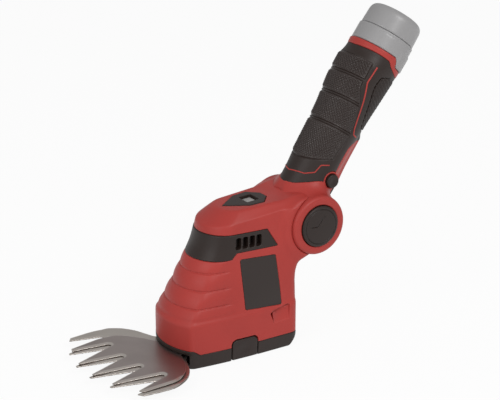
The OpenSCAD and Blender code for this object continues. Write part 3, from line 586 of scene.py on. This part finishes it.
# Handle, in its own frame: x towards the underside, y across, s up along the grip from the hinge
slide = joints["battery_slide"]["axis"]
lean = math.atan2(slide[0], slide[2])
handle_place = Matrix.Translation((hinge_x * MM, 0, hinge_z * MM)) @ Matrix.Rotation(lean, 4, "Y")
grip_x = -12.0
cheek_r, cheek_in, cheek_out = 26.5, 13.3, 36.5
ring_s1 = 159.0
sleeve_t = 1.2
housing_half, housing_s1 = 11.0, 87.0
collar_s0, collar_s1, inner_s0 = 10.0, 40.0, 30.0
strip_s0 = 40.0
trigger_half, trigger_gap = 8.0, 0.4
slot_s0, slot_s1 = 26.0, 59.5
pocket_r, pocket_y = 18.9, 25.4
lock_x, lock_s, lock_r, lock_y = -2.8, 39.5, 6.1, -26.0
boss_wall, boss_y0, boss_y1 = 1.8, -23.0, -12.0
grip_bore, bore_s0 = 20.8, 85.0
latch_half, latch_s0, latch_s1 = 9.0, 151.8, 171.0
# Millimetres round the grip for each degree, at its middle radius
arc = math.radians(1) * 24
grip_radius = curve_through([(20, 23.5), (36, 23.5), (90, 23.0), (125, 24.5), (ring_s1, 26.3)])
swell = curve_through([
    (18, -4.2), (35, -3.5), (50, -2), (65, -1), (80, 0), (95, 1.2), (108, 2.6),
    (122, 3.6), (140, 3.3), (150, 0.8), (154, 0.4), (ring_s1, 0.4),
])
swell_angle, swell_fade = 105.0, 55.0
underside = curve_through([(28, 17.5), (44, 15.8), (62, 13.8), (80, 13.0), (housing_s1, 12.6)])
# Edges as an angle from the front at each place along the grip
strip_edge = curve_through([(36, 119), (48, 117), (58, 114.5), (70, 114.5), (76, 123), (82, 145), (86, 180)])
pad_edge = curve_through([
    (90, 122), (94, 115.5), (112, 97), (129, 83.5), (136, 85), (138.5, 90), (141, 103), (146, 122),
])
panel_edge = curve_through([
    (50, 88), (56, 89), (79, 95), (81, 95), (103, 79), (107, 75), (123.5, 57), (126.5, 57), (146, 55),
])
# Edges as a place along the grip at each angle from the front
sleeve_low = curve_through([(0, 18.7), (30, 20.6), (58, 26), (93, 34.3), (125, 37), (180, 37)])
ring_low = curve_through([(0, 152.6), (60, 153.8), (80, 153.5), (95, 149.6), (126, 146.1), (180, 146)])
ring_high = curve_through([(0, ring_s1), (90, ring_s1), (97, 156.5), (104, 152), (110, 151.5), (180, 151.5)])
panel_floor = curve_through([(0, 42.5), (45, 47), (83, 54.4), (100, 58)])
panel_gaps, gap_half = (80.0, 105.8, 126.3), 0.9
panel_start, panel_top = 44.0, 143.4
pad_s0, pad_s1, pad_sunk = 92.0, 142.0, 0.5
panel_bed, pad_bed = 0.8, 0.9
ridge_pitch, ridge_high, ridge_slope = 3.5, 1.1, 0.18
panel_slope = 0.02
knurl_pitch, knurl_deep, knurl_stretch = 3.2, 1.15, 1.2
hem_sunk, hem_high, hem_wide, hem_drop = 0.9, 1.0, 0.9, 0.3


def from_front(x, y):
    """Angle round the grip from its front, in degrees, the same on both sides."""
    return np.degrees(np.arctan2(np.abs(y), grip_x - x))


def trigger_block(x, y, s):
    """Trigger housing under the grip."""
    flank = smax(np.abs(y) - housing_half, x - underside(s), 4)
    return np.maximum(smax(flank, s - housing_s1, 3), grip_x - x)


def tube(x, y, s):
    """The grip without its trigger housing, swelling on the front."""
    angle = from_front(x, y)
    return np.hypot(x - grip_x, y) - grip_radius(s) - swell(s) * step01((swell_angle - angle) / swell_fade)


def grip_plain(x, y, s):
    """Outside of the grip, with the trigger housing swelling out of its underside."""
    return smin(tube(x, y, s), trigger_block(x, y, s), 6)


def lock_dist(x, s):
    """Distance from the lock button's axis."""
    return np.hypot(x - lock_x, s - lock_s)


def handle_field(x, y, s):
    """Both handle shells as one: cheeks, collar, inner tube, trigger strip, end ring and boss."""
    side = np.abs(y)
    angle = from_front(x, y)
    from_hinge = np.hypot(x, s)
    plain = grip_plain(x, y, s)
    cheek = smax(smax(from_hinge - cheek_r, side - cheek_out, 4), cheek_in - side, 1.5)
    collar = smax(tube(x, y, s), slab(s, collar_s0, collar_s1), 3)
    shape = smin(cheek, collar, 14)
    shape = np.where(s > sleeve_low(angle) + 0.5, np.maximum(shape, plain + sleeve_t), shape)
    inner = smax(plain + sleeve_t + 0.1, slab(s, inner_s0, ring_low(angle) + 2), 0.5)
    shape = np.minimum(shape, inner)
    strip = np.maximum((strip_edge(s) - angle) * arc, s - housing_s1)
    shape = smin(shape, np.maximum(smax(plain, strip_s0 - s, 2), strip), 0.5)
    ring = smax(tube(x, y, s) - 0.25, np.maximum(ring_low(angle) - s, s - ring_high(angle)), 0.7)
    shape = smin(shape, ring, 0.4)
    boss = smax(lock_dist(x, s) - lock_r - boss_wall, slab(y, boss_y0, boss_y1), 1.2)
    shape = smin(shape, boss, 0.8)
    shape = smax(shape, -np.maximum(side - cheek_in, from_hinge - cheek_r - 1.3), 1)
    shape = smax(shape, -smax(from_hinge - pocket_r, pocket_y - side, 0.5), 0.8)
    shape = smax(shape, -np.maximum(lock_dist(x, s) - lock_r - 0.3, y + 8), 0.5)
    slot = np.maximum(side - trigger_half - trigger_gap, np.maximum(slab(s, slot_s0, slot_s1), 2 - x))
    shape = smax(shape, -slot, 0.5)
    return smax(shape, -np.maximum(np.hypot(x - grip_x, y) - grip_bore, bore_s0 - s), 0.5)


def panel_zone(x, y, s):
    """Beds of the knurled panels: negative inside."""
    angle = from_front(x, y)
    zone = np.maximum((angle - panel_edge(s)) * arc, s - panel_top)
    zone = np.maximum(zone, panel_floor(angle) - s)
    for g in panel_gaps:
        zone = np.maximum(zone, gap_half - np.abs(s - g - panel_slope * angle))
    return zone


def pad_zone(x, y, s):
    """Bed of the rear pad: negative inside."""
    angle = from_front(x, y)
    return np.maximum((pad_edge(s) - angle) * arc, slab(s, pad_s0, pad_s1))


def sleeve_field(x, y, s):
    """Rubber sleeve with beds for the panels and the pad."""
    angle = from_front(x, y)
    plain = grip_plain(x, y, s)
    outer = plain + panel_bed * step01(0.7 - panel_zone(x, y, s) / 0.8)
    outer = outer + pad_bed * step01(1 - pad_zone(x, y, s) / 0.8)
    shape = smax(outer, -(plain + 2 * sleeve_t), 0.3)
    shape = smax(shape, np.maximum(sleeve_low(angle) - s, s - ring_low(angle) + 0.15), 0.7)
    strip = np.maximum((strip_edge(s) - angle) * arc - 0.1, s - housing_s1 + 1)
    shape = smax(shape, -strip, 0.5)
    shape = smax(shape, -np.maximum(lock_dist(x, s) - lock_r - 2.2, y), 0.5)
    slot = np.maximum(np.abs(y) - trigger_half - trigger_gap, np.maximum(slab(s, slot_s0, slot_s1 + 0.2), -x))
    return smax(shape, -slot, 0.5)


def pad_field(x, y, s):
    """Rear pad with slanted ridges."""
    ridge = np.abs(np.mod((s + ridge_slope * from_front(x, y)) / ridge_pitch, 1) - 0.5) * 2
    plain = grip_plain(x, y, s)
    shape = smax(plain - ridge_high * step01(ridge) + pad_sunk, -(plain + sleeve_t), 0.2)
    return smax(shape, pad_zone(x, y, s) + 0.5, 0.6)


moulded("handle_skin", handle_field, (-41, -38.5, -28), (30, 38.5, 162), 0.85, RED, "handle",
        ("left_handle_shell", "right_handle_shell"), handle_place)
moulded("sleeve_skin", sleeve_field, (-43, -30, 16), (20, 30, 156), 0.65, RUBBER, "handle",
        ("grip_cover",), handle_place)
moulded("rear_pad", pad_field, (-20, -28, 88), (17, 28, 149), 0.4, RUBBER, "handle",
        ("rib_pad",), handle_place)


def on_grip(out, s, proud):
    """Points on the grip's outside in the directions out from its axis."""
    r = grip_radius(s)
    for _ in range(8):
        r = r - grip_plain(grip_x + out[..., 0] * r, out[..., 1] * r, s)
    r = r + proud
    return np.stack([grip_x + out[..., 0] * r, out[..., 1] * r, s], -1)


def ribbon(name, path, wide, proud):
    """Thin red inlay along a path of (angle, s) on the grip, on both sides."""
    count = 160
    way = np.array(path, float)
    at = np.concatenate([[0], np.cumsum(np.hypot(np.diff(way[:, 0]) * arc, np.diff(way[:, 1])))])
    t = np.linspace(0, at[-1], count)
    angle, s = np.interp(t, at, way[:, 0]), np.interp(t, at, way[:, 1])
    for _ in range(6):
        angle[1:-1] = (angle[:-2] + 2 * angle[1:-1] + angle[2:]) / 4
        s[1:-1] = (s[:-2] + 2 * s[1:-1] + s[2:]) / 4
    out = np.stack([-np.cos(np.radians(angle)), np.sin(np.radians(angle)), 0 * angle], 1)
    line = on_grip(out, s, 0)
    run = np.gradient(line, axis=0)
    across = np.cross(run, out)
    across /= np.linalg.norm(across, axis=1)[:, None]
    rim = [(-0.5, -0.6), (-0.5, 0.5), (-0.3, 1), (0.3, 1), (0.5, 0.5), (0.5, -0.6)]
    rings = np.stack([line + across * wide * a + out * proud * b for a, b in rim], 1)
    n = len(rim)
    faces = [[i * n + j, i * n + (j + 1) % n, (i + 1) * n + (j + 1) % n, (i + 1) * n + j]
             for i in range(count - 1) for j in range(n)]
    last = (count - 1) * n
    for end in ([0, 1, 4, 5], [1, 2, 3, 4]):
        faces += [end, [last + j for j in reversed(end)]]
    for side, side_name in ((-1, "right"), (1, "left")):
        points = rings.reshape(-1, 3) * (1, -side, 1)
        quads = np.array(faces)[:, ::side]
        piece = mesh_piece(f"{name}_{side_name}", points, quads, RED, "handle", handle_place)


def knurled_panel(name, low, high):
    """A panel of small diamonds that lies in its bed round the front of the grip."""
    count_s, count_a = 84, 280
    u, v = np.meshgrid(np.linspace(-1, 1, count_a), np.linspace(0, 1, count_s), indexing="ij")
    level = low + v * (high - low)
    edge = panel_edge(level)
    angle = u * edge
    lift = panel_slope * np.abs(angle)
    floor = np.maximum(low + lift, panel_floor(np.abs(angle)) + 0.4)
    s = floor + v * (high + lift - floor)
    border = np.minimum((1 - np.abs(u)) * edge * arc, np.minimum(v, 1 - v) * (high + lift - floor))
    q = angle * arc
    a = np.abs(np.mod((q * knurl_stretch + s) / knurl_pitch, 1) - 0.5)
    b = np.abs(np.mod((q * knurl_stretch - s) / knurl_pitch, 1) - 0.5)
    diamonds = knurl_deep * (1 - 2 * np.maximum(a, b)) * step01((border - 1.4) / 0.6)
    hem = -hem_sunk + hem_high * step01(border / hem_wide) - hem_drop * step01((border - hem_wide) / 0.7)
    turn = np.radians(angle)
    out = np.stack([-np.cos(turn), np.sin(turn), 0 * turn], -1)
    points = on_grip(out, s, hem + diamonds).reshape(-1, 3)
    i = np.arange(count_a * count_s).reshape(count_a, count_s)
    quads = np.stack([i[:-1, :-1], i[1:, :-1], i[1:, 1:], i[:-1, 1:]], -1).reshape(-1, 4)
    piece = mesh_piece(name, points, quads, KNURL, "handle", handle_place)


panel_starts = [panel_start] + [g + gap_half for g in panel_gaps]
panel_ends = [g - gap_half for g in panel_gaps] + [panel_top]
for i, (low, high) in enumerate(zip(panel_starts, panel_ends)):
    knurled_panel(f"grip_panel_{i + 1}", low, high)
ribbon("accent", [(65.7, 143), (64, 127), (78.7, 111), (96.8, 88), (104, 83.5), (119, 83.2)], 1.3, 0.35)
ribbon("low_line", [(0, 29.8), (45.6, 33), (66, 38), (70.1, 46.1), (86.9, 49.8)], 1.0, 0.3)

# Battery: a stem in the grip, a head with a groove, a rounded cap and a latch tongue
stem_r, head_r, cap_r = 20.5, 26.2, 25.4
stem_s0, stem_wall, notch_in = 90.4, 1.5, 21.2
skirt_proud, skirt_angle, skirt_s1 = 0.9, 96.0, 168.0
latch_proud, latch_in, latch_grooves = 1.2, 23.0, (160.0, 162.5, 165.0)
latch_spring_r, latch_spring_x = 2.5, 13.4
groove_s, battery_s1 = 175.4, 196.3
line_drop, line_half, line_angle = 2.6, 0.35, 35.0
cap_draft, cap_round = 0.6 / 18, 8.0
spring_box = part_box("latch_spring")
latch_spring_s = (handle_place.inverted() @ ((spring_box[0] + spring_box[1]) / 2)).z / MM


def battery_field(x, y, s):
    """Battery housing: a stem with a recessed end and a head notched for the latch."""
    r = np.hypot(x - grip_x, y)
    stem = smax(r - stem_r, slab(s, stem_s0, ring_s1 + 3), 1)
    stem = smax(stem, -np.maximum(r - stem_r + stem_wall, s - stem_s0 - 1.2), 0.3)
    angle = from_front(x, y)
    low = ring_high(angle) + 0.3
    proud = skirt_proud * step01((angle - skirt_angle) / 5) * step01((skirt_s1 - s) / 2)
    head = smax(r - head_r - proud, np.maximum(low - s, s - groove_s + 0.2), 1)
    fine = np.maximum(np.abs(s - groove_s + line_drop) - line_half, line_angle - angle)
    head = carve(head, fine, 0.4, 0.2)
    shape = smin(stem, head, 0.4)
    notch = np.maximum(np.abs(y) - latch_half - 0.4, np.maximum(grip_x + notch_in - x, s - latch_s1 - 0.5))
    return smax(shape, -notch, 0.5)


def cap_field(x, y, s):
    """Battery cap, rounded and slightly tapered."""
    r = np.hypot(x - grip_x, y)
    wall = r - cap_r + cap_draft * (s - groove_s)
    return smax(smax(wall, s - battery_s1, cap_round), groove_s - s, 1.0)


def latch_field(x, y, s):
    """Latch tongue with finger grooves and a hole for its spring."""
    r = np.hypot(x - grip_x, y)
    shape = smax(smax(r - head_r - latch_proud, grip_x + latch_in - x, 0.5), np.abs(y) - latch_half, 2)
    shape = smax(shape, slab(s, latch_s0, latch_s1), 2)
    for g in latch_grooves:
        shape = smax(shape, 0.7 - np.hypot(r - head_r - 1.4, s - g), 0.4)
    spring_hole = np.maximum(np.hypot(y, s - latch_spring_s) - latch_spring_r, x - latch_spring_x)
    return smax(shape, -spring_hole, 0.3)


moulded("battery_skin", battery_field, (-40, -28, 89), (16, 28, 180), 0.9, GREY, "battery",
        ("battery_housing",), handle_place)
moulded("battery_cap_skin", cap_field, (-39, -27, 174), (15, 27, 198), 0.8, GREY, "battery",
        ("battery_cap",), handle_place)
moulded("latch_skin", latch_field, (8, -11, 150), (18, 11, 177), 0.5, GREY, "latch",
        ("battery_latch",), handle_place)


# Hinge button and pivot cap: shallow domes with an engraved ring, and a line on the button
knob_r, knob_back, knob_face, knob_fall = 18.5, 29.5, 39.0, 0.7
knob_ring, ring_floor, mark_floor = 15.5, 37.9, 38.0
knob_mark = [(-8.6, -5.2), (-3.2, -1.5), (-2.4, 9.6)]


def knob_field(sign, engraved):
    """Hinge button or pivot cap, on the side that sign gives."""
    def field(x, y, s):
        r = np.hypot(x, s)
        out = y * sign
        dome = out - knob_face + knob_fall * (r / knob_r) ** 2
        shape = smax(smax(r - knob_r, dome, 2), knob_back - out, 0.5)
        shape = smax(shape, -smax(np.abs(r - knob_ring) - 0.3, ring_floor - out, 0.3), 0.3)
        if engraved:
            mark = line_dist(x, s, knob_mark) - 0.35
            shape = smax(shape, -smax(mark, mark_floor - out, 0.3), 0.3)
        return shape
    return field


moulded("hinge_button_skin", knob_field(-1, True), (-20, -40, -20), (20, -28, 20), 0.5, DARK, "hinge_lock",
        ("hinge_button",), handle_place)
moulded("pivot_cap_skin", knob_field(1, False), (-20, 28, -20), (20, 40, 20), 0.5, DARK, "handle",
        ("pivot_cap",), handle_place)

# Lock button: a short cylinder with a dish for the fingertip
lock_back, dish_r, dish_out = -15.5, 7.0, 6.4


def lock_field(x, y, s):
    r = lock_dist(x, s)
    shape = smax(smax(r - lock_r, lock_y - y, 1.4), y - lock_back, 0.4)
    return smax(shape, dish_r - np.sqrt(r * r + (y - lock_y + dish_out) ** 2), 0.6)


moulded("lock_button_skin", lock_field, (-11, -28, 31), (6, -14, 48), 0.35, DARK, "lock_off",
        ("lock_button",), handle_place)

# Blades: teeth ground to an edge, with tips on an arc about the pivot and roots on a flatter one
tooth_pitch, tip_w, blade_t = 25.4, 4.0, 2.0
lower_z, upper_z = 7.0, 9.1
lower_teeth, upper_teeth = 6, 5
lower_reach, upper_reach = 107.5, 105.0
lower_hole, upper_hole = 4.2, 6.5
root_r, root_share, root_flat, root_limit = 2.6, 0.348, 0.7, 0.41
bevel_wide, bevel_deep, bevel_share = 2.6, 1.3, 0.44
drive_x, drive_slot = 30.0, (6, 3.3)
blade_step = (0.7, 0.7, 0.3)
# Both blades rise a little in front, by distance from the pivot, so that they still slide on each other
blade_lift, lift_from, lift_over = 1.6, 20.0, 11.0
half_swing = math.asin(tooth_pitch / 2 / upper_reach)
lower_half = [(16, 20), (-11.5, 21.5), (-0.205, 0.4), (-0.245, 0.53), (-0.293, 0.72), (-0.381, 0.895),
              (-0.52, 1.015), (-0.65, 1.023)]
upper_half = [(39, 9), (14, 9), (6, 15), (-11.5, 16.5), (-0.22, 0.33), (-0.262, 0.36), (-0.278, 0.44),
              (-0.31, 0.575), (-0.358, 0.73), (-0.41, 0.858), (-0.47, 0.955), (-0.54, 1.02), (-0.6, 1.035)]


def rounded_line(points):
    """Points of a smooth line through the given ones."""
    p = np.array([points[0]] + points + [points[-1]], float)
    line = []
    for a, b, c, d in zip(p, p[1:], p[2:], p[3:]):
        for w in (0, 0.25, 0.5, 0.75):
            line.append(tuple(0.5 * (2 * b + (c - a) * w + (2 * a - 5 * b + 4 * c - d) * w ** 2
                                     + (3 * b - a - 3 * c + d) * w ** 3)))
    return line + [points[-1]]


def blade_plan(u, v, teeth, reach, half):
    """Distance to a blade's outline: a half outline in shares of reach and width, tip arc and tooth gaps."""
    wide = (teeth - 1) / 2 * tooth_pitch + tip_w / 2
    side = [(x * reach, y * wide) if abs(x) < 1 else (x, y) for x, y in half]
    turn = math.asin(wide / reach)
    tips = [(-reach * math.cos(turn * t), reach * math.sin(turn * t)) for t in np.linspace(1, -1, 25)]
    side = rounded_line(side)
    plan = polygon(u, v, side + tips + [(x, -y) for x, y in reversed(side)])
    for i in range(1, teeth):
        g = (i - teeth / 2) * tooth_pitch
        aside = min(abs(g), reach * root_limit) * root_flat
        root = -math.sqrt((reach * (1 - root_share)) ** 2 - aside ** 2)
        tip = -math.sqrt(reach ** 2 - min(abs(g), reach - 1) ** 2) - 6
        mouth = (tooth_pitch - tip_w) / 2 + 2
        gap = polygon(u, v, [(root, g - root_r), (root, g + root_r), (tip, g + mouth), (tip, g - mouth)])
        gap = np.minimum(gap, np.hypot(u - root, v - g) - root_r)
        plan = smax(plan, -gap, 0.3)
    return plan


def blade_field(teeth, reach, half, low, turn, hole, slot_x):
    """A blade turned about the pivot, with ground teeth, a pivot hole and, at slot_x, a drive slot."""
    def field(x, y, z):
        u = (x - pivot_x) * math.cos(turn) + y * math.sin(turn)
        v = y * math.cos(turn) - (x - pivot_x) * math.sin(turn)
        plan = blade_plan(u, v, teeth, reach, half)
        plan = np.maximum(plan, hole - np.hypot(u, v))
        z = z - blade_lift * step01((np.hypot(u, v) - lift_from) / lift_over) * (u < 0)
        if slot_x:
            plan = np.maximum(plan, -bar(u, v, (slot_x, 0), drive_slot, 0.5))
        top = z - low - blade_t
        slope = bevel_wide / bevel_deep
        bare = step01((-bevel_share * reach - u) / 10)
        ground = (plan + slope * (top + bevel_deep * bare)) / math.hypot(1, slope)
        return smax(smax(np.maximum(plan, ground), top, 0.15), low - z, 0.15)
    return field


moulded("lower_blade_skin", blade_field(lower_teeth, lower_reach, lower_half, lower_z, 0, lower_hole, 0),
        (-144, -70, 6.4), (-16, 70, 11.2), blade_step, LOWER_STEEL, "blade_set",
        ("lower_blade",))
moulded("upper_blade_skin",
        blade_field(upper_teeth, upper_reach, upper_half, upper_z, half_swing, upper_hole, drive_x),
        (-142, -70, 8.5), (8, 60, 13.3), blade_step, UPPER_STEEL, "cutter", ("upper_blade",))

# Indicator: a lens on the floor of the bezel's window
lens_half, lens_low, lens_high = (5.0, 6.2), body_top - 2.6, body_top - 1.9


def lens_field(x, y, z):
    z = z + dip(x)
    return smax(bar(x, y, (window_x, 0), lens_half, 0.8), slab(z, lens_low, lens_high), 0.3)


moulded("lens_skin", lens_field, (16, -8, body_top - 5), (30, 8, body_top), 0.3, LENS, "base",
        ("indicator_lens",))


# Trigger: a rounded lever under the grip, hollow round its spring
trigger_points = [(8.5, 28), (18, 29), (18.2, 36), (16.8, 45), (14.5, 56.5), (8.5, 56.5)]
trigger_spring_s, trigger_spring_r, trigger_spring_x = 40.0, 3.0, 11.5


def trigger_field(x, y, s):
    shape = smax(polygon(x, s, trigger_points), np.abs(y) - trigger_half, 3)
    spring_hole = np.maximum(np.hypot(y, s - trigger_spring_s) - trigger_spring_r, x - trigger_spring_x)
    return smax(shape, -spring_hole, 0.4)


moulded("trigger_skin", trigger_field, (7, -10, 26), (20, 10, 59), 0.5, DARK, "trigger",
        ("trigger",), handle_place)

# Looks of the CAD nodes that are shown as they are
node_looks = {
    DARK: ("blade_carrier",),
    STEEL: ("sole_screws", "body_screws", "handle_screws", "hinge_pin", "trigger_pin", "gear_axle",
            "crank_roller", "blade_pivot_bolt", "lock_gear", "hinge_spring", "lock_spring", "trigger_spring",
            "latch_spring", "left_release_spring", "right_release_spring"),
    BRASS: ("motor_pinion", "drive_gear", "blade_bush", "battery_contacts"),
    ALLOY: ("motor_can", "gear_plate"),
    WRAP: ("battery_cells",),
    BOARD: ("indicator_board",),
    INNER: ("motor_end_cap", "switch_block", "terminal_block", "cell_holder"),
}
for material, names in node_looks.items():
    for name in names:
        node = frame["nodes"][name]
        node.data.materials.clear()
        node.data.materials.append(material)


def soft_edges(node, wide):
    """Rounds a CAD node's sharp edges by modifiers."""
    weld = node.modifiers.new("weld", "WELD")
    weld.merge_threshold = 0.01 * MM
    bevel = node.modifiers.new("soft_edges", "BEVEL")
    bevel.width = wide * MM
    bevel.segments = 3
    bevel.limit_method = "ANGLE"
    bevel.angle_limit = math.radians(35)
    node.modifiers.new("normals", "WEIGHTED_NORMAL")


soft_edges(frame["nodes"]["blade_carrier"], 0.4)


# Stage: a pale floor that keeps the shadow, a white surround, soft lamps and the photograph's camera
floor_half, floor_white = 4.0, 0.92


def pale_floor():
    """Floor that reads as white to the camera and in reflections, with the object's shadow on it."""
    mesh = bpy.data.meshes.new("floor")
    corners = [(x * floor_half, y * floor_half, 0) for x, y in ((-1, -1), (1, -1), (1, 1), (-1, 1))]
    mesh.from_pydata(corners, [], [(0, 1, 2, 3)])
    floor = bpy.data.objects.new("floor", mesh)
    bpy.context.scene.collection.objects.link(floor)
    material = bpy.data.materials.new("floor")
    material.use_nodes = True
    nodes, links = material.node_tree.nodes, material.node_tree.links
    shader = nodes["Principled BSDF"]
    shader.inputs["Base Color"].default_value = (0.86, 0.86, 0.86, 1)
    shader.inputs["Roughness"].default_value = 0.9
    glow = nodes.new("ShaderNodeEmission")
    glow.inputs["Color"].default_value = (1, 1, 1, 1)
    glow.inputs["Strength"].default_value = 1.0
    mix = nodes.new("ShaderNodeMixShader")
    ray = nodes.new("ShaderNodeLightPath")
    seen = nodes.new("ShaderNodeMath")
    seen.operation = "MAXIMUM"
    links.new(ray.outputs["Is Camera Ray"], seen.inputs[0])
    links.new(ray.outputs["Is Glossy Ray"], seen.inputs[1])
    share = nodes.new("ShaderNodeMath")
    share.operation = "MULTIPLY"
    share.inputs[1].default_value = floor_white
    links.new(seen.outputs["Value"], share.inputs[0])
    links.new(share.outputs["Value"], mix.inputs["Fac"])
    links.new(shader.outputs["BSDF"], mix.inputs[1])
    links.new(glow.outputs["Emission"], mix.inputs[2])
    links.new(mix.outputs["Shader"], nodes["Material Output"].inputs["Surface"])
    mesh.materials.append(material)


def white_surround(level):
    """World of one plain level that the camera sees as white."""
    world = bpy.data.worlds.new("surround")
    bpy.context.scene.world = world
    world.use_nodes = True
    nodes, links = world.node_tree.nodes, world.node_tree.links
    light = nodes["Background"]
    light.inputs["Color"].default_value = (1, 1, 1, 1)
    light.inputs["Strength"].default_value = level
    white = nodes.new("ShaderNodeBackground")
    white.inputs["Color"].default_value = (1, 1, 1, 1)
    white.inputs["Strength"].default_value = 1.0
    ray = nodes.new("ShaderNodeLightPath")
    mix = nodes.new("ShaderNodeMixShader")
    links.new(ray.outputs["Is Camera Ray"], mix.inputs["Fac"])
    links.new(light.outputs["Background"], mix.inputs[1])
    links.new(white.outputs["Background"], mix.inputs[2])
    links.new(mix.outputs["Shader"], nodes["World Output"].inputs["Surface"])


def lamp(name, place, size, watts):
    """Soft square lamp aimed at the middle of the object."""
    data = bpy.data.lights.new(name, "AREA")
    data.energy = watts
    data.size = size
    light = bpy.data.objects.new(name, data)
    light.location = place
    light.rotation_euler = (Vector((0, 0, 0.1)) - light.location).to_track_quat("-Z", "Y").to_euler()
    bpy.context.scene.collection.objects.link(light)


def photo_camera():
    """Camera at the photograph's viewing angle."""
    data = bpy.data.cameras.new("camera")
    data.lens = 115.2
    data.sensor_width = 36
    camera = bpy.data.objects.new("camera", data)
    camera.location = (-0.6797, -1.0842, 0.5994)
    camera.rotation_euler = (math.radians(70), 0, math.radians(-33))
    bpy.context.scene.collection.objects.link(camera)
    bpy.context.scene.camera = camera


pale_floor()
white_surround(0.5)
lamp("key", (0.1, -1.7, 1.6), 0.9, 22)
lamp("fill", (-1.6, -0.6, 1.0), 1.2, 10)
photo_camera()
bpy.context.scene.view_settings.view_transform = "Standard"
